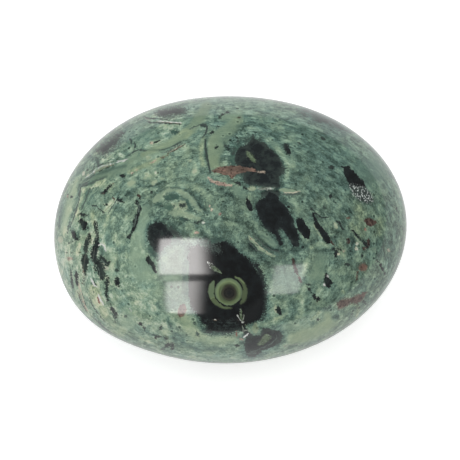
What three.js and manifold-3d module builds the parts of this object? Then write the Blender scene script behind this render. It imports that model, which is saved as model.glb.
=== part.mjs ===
// A palm stone of kambaba jasper: one solid pebble, ground by hand and polished all over.
// Millimetres, +Z up. X runs along the stone's length and Y across it, and the stone lies on its
// flattest side: the origin is on the surface it rests on, under the middle of its outline.
//
// The form is an ellipsoid with a few broad swells and flats, which are what keep a hand-ground
// stone from being regular. Underneath, where it was ground last, it has a small true flat.
import * as THREE from "three";
import { mergeVertices } from "three/addons/utils/BufferGeometryUtils.js";
import Module from "manifold-3d";

const HALF_LENGTH = 31.9;
const HALF_WIDTH = 23.8;
const HALF_THICKNESS = 17.6;
const TURN = THREE.MathUtils.degToRad(3); // the long axis lies this far anticlockwise of X

// Each swell raises the surface, or lowers it where share is negative, most in the direction given
// by azimuth (anticlockwise from +X) and elevation, both in degrees. share is the greatest rise as a
// part of the radius there, and spread is how wide it is: 0.07 is a thumb's width, 0.3 a whole end.
const SWELLS = [
  { place: "right end, blunted", azimuth: 352, elevation: 4, share: -0.029, spread: 0.3 },
  { place: "rear right shoulder", azimuth: 48, elevation: 12, share: 0.014, spread: 0.22 },
  { place: "rear left shoulder", azimuth: 128, elevation: 8, share: 0.037, spread: 0.22 },
  { place: "left end, blunted", azimuth: 186, elevation: 0, share: -0.038, spread: 0.3 },
  { place: "front left heel", azimuth: 212, elevation: 2, share: 0.046, spread: 0.07 },
  { place: "front edge", azimuth: 262, elevation: 0, share: 0.01, spread: 0.25 },
  { place: "front right flank", azimuth: 318, elevation: 2, share: 0.009, spread: 0.25 },
  { place: "crown, left of the middle", azimuth: 200, elevation: 68, share: 0.025, spread: 0.2 },
  { place: "falling away to the right", azimuth: 10, elevation: 50, share: -0.02, spread: 0.2 },
  { place: "belly, ground flatter", azimuth: 330, elevation: -84, share: -0.03, spread: 0.25 },
];

const GRIND_DEPTH = 0.65; // what is ground off the lowest point
const GRIND_BLEND = 0.35; // half the height over which the ground side rounds into the belly
const FLAT_CUT = 0.03; // the last, truly flat cut, which makes the face the stone rests on

const SPLITS = 20; // each of the 20 faces of an icosahedron becomes (SPLITS + 1)² triangles

const STONE_COLOUR = new THREE.Color("#7d9583");
const POLISHED_ROUGHNESS = 0.12;

const wasm = await Module();
wasm.setup();

// The unit vector that points to an azimuth and an elevation given in degrees.
function direction(azimuth, elevation) {
  const inclination = THREE.MathUtils.degToRad(90 - elevation);
  const turn = THREE.MathUtils.degToRad(azimuth);
  return new THREE.Vector3(
    Math.sin(inclination) * Math.cos(turn),
    Math.sin(inclination) * Math.sin(turn),
    Math.cos(inclination),
  );
}

const swells = SWELLS.map((swell) => ({
  ...swell,
  towards: direction(swell.azimuth, swell.elevation),
}));

// How far the raw stone reaches from its middle in the direction of a unit vector.
function reach(unit) {
  const along = unit.x * Math.cos(TURN) + unit.y * Math.sin(TURN);
  const across = unit.y * Math.cos(TURN) - unit.x * Math.sin(TURN);
  const ellipsoid =
    1 / Math.hypot(along / HALF_LENGTH, across / HALF_WIDTH, unit.z / HALF_THICKNESS);
  return swells.reduce(
    (radius, { towards, share, spread }) =>
      radius * (1 + share * Math.exp((unit.dot(towards) - 1) / spread)),
    ellipsoid,
  );
}

// A height over the ground side, with what lay below that side taken off and its edge left round.
function ground(height) {
  if (height > GRIND_BLEND) return height;
  if (height < -GRIND_BLEND) return 0;
  return (height + GRIND_BLEND) ** 2 / (4 * GRIND_BLEND);
}

// The same shape with only positions, and one vertex where several triangles meet.
function welded(geometry) {
  geometry.deleteAttribute("normal");
  geometry.deleteAttribute("uv");
  return mergeVertices(geometry);
}

function solid(geometry) {
  return new wasm.Manifold(
    new wasm.Mesh({
      numProp: 3,
      vertProperties: new Float32Array(geometry.getAttribute("position").array),
      triVerts: new Uint32Array(geometry.getIndex().array),
    }),
  );
}

function shape(body) {
  const mesh = body.getMesh();
  const geometry = new THREE.BufferGeometry();
  geometry.setAttribute("position", new THREE.BufferAttribute(mesh.vertProperties, 3));
  geometry.setIndex(new THREE.BufferAttribute(mesh.triVerts, 1));
  return geometry;
}

// The stone as it was ground, with its lowest side at height 0.
function groundStone() {
  const geometry = welded(new THREE.IcosahedronGeometry(1, SPLITS));
  const places = geometry.getAttribute("position");
  const point = new THREE.Vector3();
  for (let i = 0; i < places.count; i++) {
    point.fromBufferAttribute(places, i).normalize();
    point.multiplyScalar(reach(point));
    places.setXYZ(i, point.x, point.y, point.z);
  }
  geometry.computeBoundingBox();
  const { min, max } = geometry.boundingBox;
  geometry.translate(-(min.x + max.x) / 2, -(min.y + max.y) / 2, -(min.z + GRIND_DEPTH));
  for (let i = 0; i < places.count; i++) places.setZ(i, ground(places.getZ(i)));
  return geometry;
}

// The stone with its flat cut, standing on height 0.
function palmStoneShape() {
  const slabThickness = HALF_THICKNESS;
  const slab = welded(new THREE.BoxGeometry(HALF_LENGTH * 3, HALF_WIDTH * 3, slabThickness));
  slab.translate(0, 0, FLAT_CUT - slabThickness / 2);
  const geometry = shape(solid(groundStone()).subtract(solid(slab)));
  geometry.translate(0, 0, -FLAT_CUT);
  geometry.computeVertexNormals();
  return geometry;
}

const stone = new THREE.Mesh(
  palmStoneShape(),
  new THREE.MeshStandardMaterial({
    color: STONE_COLOUR,
    roughness: POLISHED_ROUGHNESS,
    metalness: 0,
  }),
);
stone.name = "kambaba_stone";

const palmStone = new THREE.Group();
palmStone.add(stone);

export default palmStone;
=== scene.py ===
"""A polished kambaba jasper palm stone in a small product studio.

The stone is one closed mesh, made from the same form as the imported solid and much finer. Its
markings are drawn on it in two steps. The marks that make this stone the one it is, such as its
black orbs, the eye, the rusty flakes and the cracks, are written below as shapes on the show
face and measured at every vertex. The material turns those measures into crisp marks, and adds
what is finer than the mesh: the granular green ground, its flow lines, specks and pits.
"""

import math
from functools import partial

import bpy
import numpy as np
from mathutils import Matrix, Vector


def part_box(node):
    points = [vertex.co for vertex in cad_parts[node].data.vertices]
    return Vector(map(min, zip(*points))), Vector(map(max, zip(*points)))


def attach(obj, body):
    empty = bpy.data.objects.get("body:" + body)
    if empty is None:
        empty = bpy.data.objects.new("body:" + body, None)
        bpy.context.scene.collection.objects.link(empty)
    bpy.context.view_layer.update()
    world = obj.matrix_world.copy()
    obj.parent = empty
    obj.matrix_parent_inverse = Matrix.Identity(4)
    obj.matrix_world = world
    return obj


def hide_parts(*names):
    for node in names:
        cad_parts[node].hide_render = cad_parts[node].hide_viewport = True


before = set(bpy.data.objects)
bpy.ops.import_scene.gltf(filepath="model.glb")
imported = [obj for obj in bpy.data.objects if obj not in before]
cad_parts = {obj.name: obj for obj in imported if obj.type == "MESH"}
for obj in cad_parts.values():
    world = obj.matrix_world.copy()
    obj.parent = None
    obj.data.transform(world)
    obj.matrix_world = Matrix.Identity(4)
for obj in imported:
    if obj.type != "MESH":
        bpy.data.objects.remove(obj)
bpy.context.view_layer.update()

bl_info = {
    "name": "Kambaba Palm Stone",
    "version": (1, 0, 0),
    "blender": (4, 5, 0),
    "location": "View3D > Sidebar > Palm Stone",
    "description": "Builds a polished kambaba jasper palm stone and a small studio around it",
    "category": "Add Mesh",
}

MM = 0.001
NODE = "kambaba_stone"
BODY = "root"

# The view. Marks are given where they show from the front, in picture units: x to the right and
# y down, in a square frame of FRAME_UNITS.
FRAME_UNITS = 460
UNIT = 0.1763  # millimetres on the stone to one picture unit
STONE_IN_FRAME = (230.0, 229.2)  # where the stone's middle shows
STONE_MIDDLE = (-0.004, -0.081, 16.38)  # where the form's own middle lies, in millimetres
VIEW_ELEVATION = math.radians(72)
VIEW_DISTANCE = 640.0  # millimetres from the stone's middle to the lens
SENSOR_WIDTH = 36.0  # millimetres
FACING = np.array((0.0, -math.cos(VIEW_ELEVATION), math.sin(VIEW_ELEVATION)))
RIGHTWARDS = np.array((1.0, 0.0, 0.0))
UPWARDS = np.cross(FACING, RIGHTWARDS)

# The form, in millimetres: (azimuth, elevation, share, spread) of each broad swell, as in the
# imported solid.
SWELLS = (
    (352, 4, -0.029, 0.30),  # right end, blunted
    (48, 12, 0.014, 0.22),  # rear right shoulder
    (128, 8, 0.037, 0.22),  # rear left shoulder
    (186, 0, -0.038, 0.30),  # left end, blunted
    (212, 2, 0.046, 0.07),  # front left heel
    (262, 0, 0.010, 0.25),  # front edge
    (318, 2, 0.009, 0.25),  # front right flank
    (200, 68, 0.025, 0.20),  # crown, left of the middle
    (10, 50, -0.020, 0.20),  # falling away to the right
    (330, -84, -0.030, 0.25),  # belly, ground flatter
)
TURN = math.radians(3)  # the long axis lies this far anticlockwise of x
GRIND_DEPTH = 0.65  # what is ground off the lowest point
GRIND_BLEND = 0.35  # half the height over which the ground side rounds into the belly
FLAT_CUT = 0.03  # the last, flat cut, which makes the face that the stone rests on


# Marks on the show face. Each has a soft edge, in millimetres, and a tone from 0 to 1 that the
# material reads. Its places are numbers, or text such as "x,y x,y", in picture units.
def rows(places):
    """A mark's places as rows of numbers."""
    if isinstance(places, str):
        places = [place.split(",") for place in places.split()]
    return np.array(places, float)


def outline(soft, tone, corners):
    """A patch inside a ring of corners."""
    return {"kind": "outline", "soft": soft, "tone": tone, "places": rows(corners)}


def oval(soft, tone, x, y, half_length, half_width, slope=0):
    """An oval whose length falls to the right by slope, in degrees."""
    return {"kind": "oval", "soft": soft, "tone": tone, "slope": slope,
            "places": rows(((x, y), (half_length, half_width)))}


def stroke(soft, tone, chain):
    """A stroke along a chain of x, y and half width."""
    return {"kind": "stroke", "soft": soft, "tone": tone, "places": rows(chain)}


def thread(tone, chain):
    """A stroke finer than the mesh, with a crisp edge."""
    return stroke(0, tone, chain)


def band(lift, olive, soft, chain, mottle=0):
    """A stroke that changes the ground's lightness, olive tint and mottling; here soft is in
    picture units."""
    return stroke(soft, 0, chain) | {"changes": (lift, olive, mottle)}


def several(name, kind, *marks):
    """Numbered marks of one kind."""
    return {f"{name} {number}": kind(*mark) for number, mark in enumerate(marks, 1)}


def field(place, size, slope, lift, olive=0, mottle=0, streaks=0):
    """A broad change of the ground round a place: how far it reaches, and what it adds."""
    return place, size, slope, (lift, olive, mottle, streaks)


# Black and blue-black marks. Tone 0 is black and 1 a dusky green.
INK = {
    "eye orb": outline(0.6, 0, "223,240 229,242 235,247 240,252 247,257 252,263 257,270 261,277 "
        "264,285 266,293 265.5,302 264,311 262,319 257,321 251,323 246,326 240,328 232,330 "
        "222,331 214,331 208,329.5 202,324 198.5,317 195,312 190,306 187,296 187,282 188,268 "
        "187,256 189,247 197,244 206,246 214,242"),
    "low orb": outline(0.2, 0.32, "245,336 248.5,335 253.5,334.5 259,334 260.7,330 263.5,326.5 "
        "268,327.8 272.5,329 278.5,330 282.2,335 280,340 275,345 268.3,348.3 261.7,350.3 "
        "259,353.5 253.3,356.5 249,356.5 246,354 244.2,349 244,342"),
    "neck of the low orb": stroke(0.4, 0.3, "241,326,3 245,331,3 248.5,335,3"),
    "upper orb": outline(0.45, 0.3, "252,134 257,138 263,141 270,148 278,154 282,162 282,172 "
        "279,181 280,187 270,188 258,186 249,184 243,181 241,174 236,168 233,160 235,152 240,146 "
        "247,143"),
    "middle orb": outline(0.25, 0.1, "258,200 264,196 269,189 275,192 279,199 284,204 288,209 "
        "292,216 294,224 297.5,233 299,246 293.5,247.5 290,240 284.5,232.5 279,226.5 277,230 "
        "280,236 282.5,243.5 279,247 277.5,241 274.5,235.5 268,230.5 262,224 258,217 256,210 "
        "256,204"),
    "oval right of the middle orb": oval(0.22, 0.1, 302.6, 227.8, 11.5, 5.2, 63),
    "bean left of the middle orb": oval(0.22, 0.15, 248.6, 204.5, 7, 2.6, 70),
    "tadpole": stroke(0.25, 0.15, "311,209,.5 314,217,1.1 317,225,2.4 321,230,2.6 325,236,3.8 "
        "327,240,3.2"),
    "left orb": outline(0.5, 0.22, "149,224 155,221 162,221.5 167,225 171,231 174,236 172,241.5 "
        "167.5,245 162,250 157,254.5 153,252 149,246 147,240 146,232"),
    "sliver under the left orb": stroke(0.25, 0.3, "147.5,258,2.4 149.5,262,2.4 153,266,1.9 "
        "156,272,1.3"),
    "upper right streak": outline(0.2, 0.08, "341.5,165.5 349,165.5 354,171.5 358.5,176.5 "
        "363.5,181.5 366,187 359,188 350,187 346.5,180 344,174"),
    "star": outline(0.25, 0.2, "326,272 327.5,277 331,279 333,283 330,285 329,287 325,286 324,282 "
        "323,279 325,275"),
    "bean right of the eye orb": oval(0.25, 0.3, 278.5, 310, 4.6, 2.8, 75),
    **several("left streak", stroke,
        (0.45, 0.5, "88.6,234,1 86.6,240,2.3 85.3,247,2.6 85,253,1.9"),
        (0.45, 0.35, "94.8,222,1.1 95.8,230,1.7 96.8,237,2.3 95.6,244,3.4 94,251,3.4 93.4,257,3.2 "
         "95.5,262,2.2"), (0.45, 0.4, "97.5,261,2.6 99.5,267,4 101.3,273,3.8 101.8,279,1.3")),
    "left hook": stroke(0.4, 0.4, "98,260,1.5 101,256,1.8 104,260.5,2.3 107,264.5,1.7 "
        "109,261.5,1"),
    "left thread": stroke(0.35, 0.4, "107.6,275,1 107,282,2 106.2,289,1.6 106,294,1.7 107,299,1.2 "
        "110,304,.9"),
    "left bean": outline(0.3, 0.35, "114.5,276.5 117.5,276 119.3,280 120,284.5 118,288 "
        "115.5,285.5 114,281"),
    "left rim dash": stroke(0.35, 0.35, "76.3,270,1 76,277,1.6 76.8,284,1.4"),
    "left rim shade": stroke(0.4, 0.55, "70.3,270,.8 71,279,1.3 72.4,287,.9"),
    "upper left dash": stroke(0.3, 0.45, "79.5,213.5,1 84,214.5,1.6 88,215,.9"),
    "upper left hook": stroke(0.35, 0.25, "81,221,2.4 84.5,224.5,3.2 82.5,228,2 86.5,227,1.6"),
    "upper left comma": stroke(0.35, 0.3, "71.5,231,1.8 73.5,235,2.4 76,238.5,2 79,237,1"),
    "upper left speck": stroke(0.3, 0.4, "68,243,1 72,240,.9 77,240.5,1 78.5,238,.8"),
    "upper left tick": stroke(0.3, 0.35, "88,233,1 89.5,238,1.4"),
    "upper left needle": stroke(0.3, 0.3, "94,221,1.1 94.5,227,1.1"),
    "dash in the pale vein": oval(0.25, 0.35, 105.3, 204.3, 2.4, 0.9, -4),
    "crumb over the pale vein": outline(0.3, 0.35, "113,197 116,199 117,196.5 119,198.5 123,197 "
        "121,200 123.5,202 119.5,201.5 117,203 116.5,200.5 113,199.5"),
    "crack left of the middle": stroke(0.25, 0.3, "136.5,201,1.6 138.8,206,1.9 138.2,212,1.9 "
        "136,217,2.3 134.5,222,2.5 133,228,1.4 130.5,233,1.2 128,237,1.7"),
    "head of that crack": oval(0.3, 0.35, 138.5, 196, 3, 1.8, 50),
    "dot by that crack": oval(0.25, 0.4, 151, 192, 1.5, 1.3),
    "cloud in the arc": outline(0.45, 0.75, "164.5,196 168,193.5 172,192.8 178,193.5 180,196.5 "
        "178.5,200 172,199.5 167,200.5 164.5,198.5"),
    "cloud left of the arc": outline(0.4, 0.8, "154,204.5 157,201.5 160.5,203 159,205.5 "
        "155.5,206"),
    "ringed dot": outline(0.4, 0.55, "178.5,203.5 181.5,202 185,203 185.5,206 182.5,208 179,207"),
    "ringed dot, small": oval(0.3, 0.65, 174, 205.5, 1.9, 1.9),
    "bar in the arc": outline(0.35, 0.7, "185,198.5 187.5,198 188,202 190.5,206 193.5,209 "
        "191.5,210 188,207 185.5,203.5"),
    "bend in the arc": stroke(0.4, 0.75, "189,207,1.2 192,210.5,1.6 196,212,1"),
    "cloud over the left orb": oval(0.5, 0.65, 184, 219, 6, 2.4, 10),
    "thread by that cloud": stroke(0.3, 0.5, "192,222,.8 197,222,.9 201,220,1.1"),
    "dash over the left orb": stroke(0.3, 0.55, "163,218.5,.8 169,218.5,1"),
    "bean right of the upper orb": oval(0.3, 0.3, 286.6, 148.2, 6.6, 2.7, 67),
    "wedge under the brown lens": stroke(0.25, 0.3, "234,181,1 238,183,1.7 241,185.5,1"),
    "tick under the upper orb": stroke(0.3, 0.4, "243,187,1 247,189,1.3"),
    "round dot left of the upper orb": oval(0.25, 0.3, 216, 147, 2.1, 2),
    "dash left of the upper orb": stroke(0.3, 0.5, "228,145,.9 224,145.5,.7"),
    "dash right of the upper orb": oval(0.3, 0.5, 299, 143, 2.2, 0.9, 20),
    "right dot 1": oval(0.3, 0.35, 330, 196, 2.3, 1.6, 40),
    "right dash 1": oval(0.35, 0.65, 334, 201.5, 2.8, 1.1, 40),
    "right bar": oval(0.3, 0.6, 323.6, 206.5, 2.4, 1, 65),
    "crack by the cream fleck": stroke(0.3, 0.35, "336,221,.8 339,222,1.4 340.5,226,1.7 "
        "343,229,1.1"),
    "right dot 2": oval(0.3, 0.3, 334.5, 248, 2.6, 1.7, 10),
    "right dot 3": outline(0.3, 0.35, "332.5,245.5 335.5,244.5 337.5,247.5 341,249.2 338,250.5 "
        "337,255 335,257 333.5,253 334.5,249.5"),
    "right dash 2": stroke(0.25, 0.4, "337.5,247.5,.8 341,249.5,.6"),
    "right dot 4": oval(0.3, 0.45, 338, 259, 2.1, 1.2, 10),
    "right cloud": oval(0.4, 0.5, 346.5, 264, 3, 1.7, 25),
    "crack on the right": stroke(0.25, 0.25, "351.5,229.5,.6 354,232,1.5 357,236,1.3 361,240,1.3 "
        "364.5,243,2 366.5,246,1.2"),
    "end of that crack": oval(0.25, 0.3, 365.5, 248.5, 1.6, 1),
    "far right crack": stroke(0.25, 0.3, "377,260.5,1.1 379,263,1.6 381.5,268,1.3 385,274.5,.9"),
    "far right dot": oval(0.3, 0.35, 375.5, 252, 1.5, 1.2, 60),
    "right dot 5": oval(0.3, 0.4, 361.5, 255.5, 1.9, 1.4, 60),
    **several("beads", oval, (0.35, 0.5, 308, 284, 2.6, 1.6, 50),
        (0.3, 0.35, 308.8, 289, 2.1, 1.6, 40), (0.25, 0.3, 310.3, 292.3, 1.4, 1.3),
        (0.3, 0.25, 313.3, 295.5, 3.2, 2.2, 70), (0.3, 0.3, 317, 299, 2.8, 1.8, 110)),
    "head of the red sliver": oval(0.3, 0.25, 292.5, 260.5, 2.4, 1.9, 110),
    "tick by the rusty patch": stroke(0.4, 0.5, "362.5,300.5,1.1 365.5,304,.9"),
    "dot over the olive field": oval(0.35, 0.5, 318, 319, 1.9, 1.2, 10),
    "lower left streak": stroke(0.4, 0.5, "110.5,307.5,1.4 113,311.5,2.1 116,315,2.2 115,321,1.1"),
    "lower left dot": oval(0.4, 0.6, 126, 316, 2, 1.5),
    "lower left red dash": oval(0.3, 0.3, 139.6, 323, 2.8, 1.4, 12),
    "lower left cloud": oval(0.4, 0.6, 143.5, 327, 2.4, 1.4, 50),
    "front dash": stroke(0.3, 0.25, "155,336.5,1.5 158,336.2,1 161,336.5,.8"),
    "front tick": stroke(0.3, 0.4, "163,336.5,.7 165.5,338,1.2 167.5,340,.8"),
    "front claw": stroke(0.45, 0.45, "165,346,1.3 168,344,2.2 172,343.5,1.6 172,348,1.5"),
    "front dot": oval(0.4, 0.55, 162, 348.5, 2.3, 1.3),
    "dot over the front dash": oval(0.4, 0.5, 160, 327.5, 1.9, 1.9),
    "crumb left of the eye orb": oval(0.35, 0.6, 194.5, 323.5, 1.7, 1.4, 20),
    "crumb left of the olive crescent": oval(0.4, 0.6, 197, 333, 2.3, 1.9, 60),
    "crumb right of the olive crescent": oval(0.35, 0.45, 237, 345, 2.3, 1.3),
    **several("top cluster", oval, (0.35, 0.35, 203, 125, 4.2, 1.7, 10),
        (0.35, 0.45, 211, 132, 3, 1.6, -20), (0.35, 0.45, 218, 126, 1.8, 1.3),
        (0.35, 0.5, 219, 117, 1.8, 1.1)),
    "top dash": oval(0.35, 0.5, 227, 112, 2.4, 1),
    "reddish shade": oval(0.35, 0.35, 331, 167, 3.2, 2.2, 30),
    "upper right dash": oval(0.35, 0.5, 323, 138, 3, 1.1, 30),
    "hazy orb, upper left": stroke(1.8, 0.3, "98,150,3 103,149,6 109,145,5 115,138,3.6 "
        "120,133,2.4"),
    "hazy orb, top": oval(1.8, 0.32, 170.5, 111.5, 16, 4.6, -7),
    "frayed top of the eye orb": stroke(0.75, 0.6, "198,243,2 206,242.5,3 214,240.5,3.4 "
        "222,240,2"),
    "frayed foot of the eye orb": stroke(1.1, 0.3, "202,314,3 205,322,3.5 211,328,4 219,330,4 "
        "229,330,4 238,327,3.5"),
    "frayed left of the upper orb": stroke(0.8, 0.6, "238,142,2.4 233,151,3 231,160,3 236,168,2"),
    "frayed top of the upper orb": stroke(0.7, 0.5, "244,141,2 252,137,2 260,141,2"),
    "frayed right of the upper orb": stroke(0.6, 0.5, "279,158,1.5 283,166,2 281,178,2"),
    "foot of the left orb": stroke(0.6, 0.65, "150,247,3 154,253,3.4 158,257,2"),
    "right side of the left orb": stroke(0.7, 0.5, "166,226,2 173,232,3 180,237,2.5"),
    "frayed top of the middle orb": stroke(0.6, 0.4, "262,196,2 269,191,2.5 277,194,2"),
    "right rim line": stroke(0.4, 0.55, "393,205,.8 395.5,207.5,.9 396.5,211,.7"),
    "dark under the hazy orb": oval(0.5, 0.6, 97, 160, 3.8, 1.6, 80),
    "speckled patch under the top vein": oval(0.55, 0.75, 174, 131, 4.6, 2.8, 5),
    "reddish streak": stroke(0.3, 0.3, "102,193,1.1 105,190,2 109,186.5,1.7 111.5,184.5,.9"),
    "top left oval": oval(0.3, 0.35, 122, 175.3, 3.4, 1.7, 4),
    "cloud under the ringed dots": oval(0.6, 0.9, 168, 206.5, 5.5, 3.2, 10),
    "soft foot of the eye orb": stroke(1, 0.6, "204,330,3 214,332,3 226,331.5,3 238,328,2.5"),
    "soft left of the eye orb": stroke(1, 0.75, "186,262,3 185.5,280,3 187,296,2.5"),
    "bridge under the window": stroke(1.1, 0.7, "168,238,3.5 176,240.5,3 183,243.5,1.5"),
    "left streak 1, low": stroke(0.45, 0.45, "84.8,255.5,3 84.3,260,4.1 84.3,266,2.7 84.2,273,1.8 "
        "83.6,281,.7"),
    **several("row of dots", oval, (0.3, 0.2, 65.8, 252, 0.9, 0.8),
        (0.3, 0.2, 72.3, 252, 0.9, 0.8), (0.3, 0.2, 79.5, 252.2, 0.9, 0.8)),
    "dark in the band": oval(0.5, 0.95, 143, 160.5, 2, 1.2),
    "dark eyelets": oval(0.3, 0.6, 86.5, 169.5, 1.6, 0.9, -30),
    "dark eyelets, right": oval(0.3, 0.55, 91, 174, 1.3, 0.8, -30),
    **several("dots on the left rim", oval, (0.25, 0.35, 67.4, 193.8, 1.3, 0.8, 20),
        (0.25, 0.5, 71.4, 196.4, 0.9, 1)),
    "dots over the upper orb": stroke(0.3, 0.5, "216.5,118.5,.7 222,114,1.1 229,112,.8"),
    "dots by the right streak": outline(0.35, 0.6, "113.5,269 116,267.5 118,270 116,272.5 "
        "113.5,271.5"),
    "small legs of the streaks": stroke(0.3, 0.4, "93,262,.6 93.5,266,1.1 94.5,272,.7"),
    "fray at the eye orb's right": stroke(0.9, 0.25, "255,264,3 260,274,3.2 263,286,3.2 "
        "264,298,3.2 263,310,3.2 259,318,3"),
}

# The marks among them that the ground darkens towards.
HALOED = ("eye orb", "low orb", "upper orb", "middle orb", "left orb")

# Pale marks that lie under the black ones. Tone 0 is the ground's own pale green, 1 is white.
PALE = {
    "ring of the dot": oval(0.6, 0.35, 182, 205, 5.4, 5.2),
    "ring of the small dot": oval(0.5, 0.3, 174, 205.5, 3.8, 3.6),
    "white dot": oval(0.25, 1, 203, 222, 1.6, 1.4),
    "cream by the crack": oval(0.25, 0.7, 356.5, 243.5, 1.6, 1.4),
    "cream under the crack": oval(0.25, 0.7, 356, 248, 1.8, 1.5),
    "pale lens by the middle orb": oval(0.3, 0.12, 287, 190, 9, 2, 5),
    "white by the beads": oval(0.2, 0.9, 315.5, 297.6, 1.5, 1.2),
    "cream on the left rim": oval(0.3, 0.6, 60, 239, 3.5, 2.5, 90),
    "pale in the top ring": oval(0.4, 0.35, 174, 131, 3.4, 2),
    "sliver by the middle": stroke(0.25, 0.15, "248,234,1 250,238,1.4 254,243,1.5 259,248,1.2 "
        "265,252,1.1 271,255,.9 276,256,.6"),
    "edge of the bean": oval(0.4, 0.5, 275.4, 309, 4.2, 1.6, 85),
    "white dot in the cloud": oval(0.2, 0.95, 168.6, 197.2, 1.6, 1.1),
    "pale dot on the right": oval(0.35, 0.5, 335.5, 225, 3, 1.8, 80),
    "pale spot in the band": oval(0.5, 0.45, 148, 157.5, 3, 1.9, -20),
    **several("eyelets of the vein", oval, (0.25, 0.75, 82.8, 172.6, 1.2, 2.2, 15),
        (0.25, 0.6, 90.4, 171.6, 1.3, 1.1)),
    "eyelets of the vein, low": oval(0.25, 0.6, 87.3, 175, 1.3, 0.9, -30),
    **several("pale crumb", oval, (0.35, 0.8, 155.3, 172.6, 1.5, 1.6),
        (0.4, 0.5, 154, 181.6, 3.6, 1.6, -35), (0.4, 0.45, 193.6, 170, 2.4, 3, 20),
        (0.4, 0.4, 189.5, 160.5, 1.1, 1.1), (0.35, 0.35, 144.5, 177.5, 1.4, 1.2),
        (0.35, 0.35, 161.5, 178.5, 1.5, 1.1), (0.4, 0.35, 131, 182.5, 4.2, 2.6, -15),
        (0.4, 0.3, 146, 173.6, 1.6, 1.4)),
    "white crumbs by the third streak": outline(0.3, 0.8, "103.5,266.5 106,265.5 108.5,268 "
        "107.5,270 105.5,268.8 104.8,271 103.6,269.5"),
    "scalloped ring": stroke(0.75, 0.1, "155,200.5,2.2 158,196.5,2.4 162,192.8,1.4 167,190.3,1.7 "
        "174,189.5,1.5 180,190.8,1.8 184.5,194,2.6 189,197.5,1.8 192,202,2.3 195.5,206.5,1.4 "
        "199.5,210,1"),
    "foot of the scalloped ring": stroke(0.75, 0.12, "170,212,1.4 176,212.5,2 183,213,1.8 "
        "189,215.5,2.6 194,216.5,1.4 199,219,1.6"),
}

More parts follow.
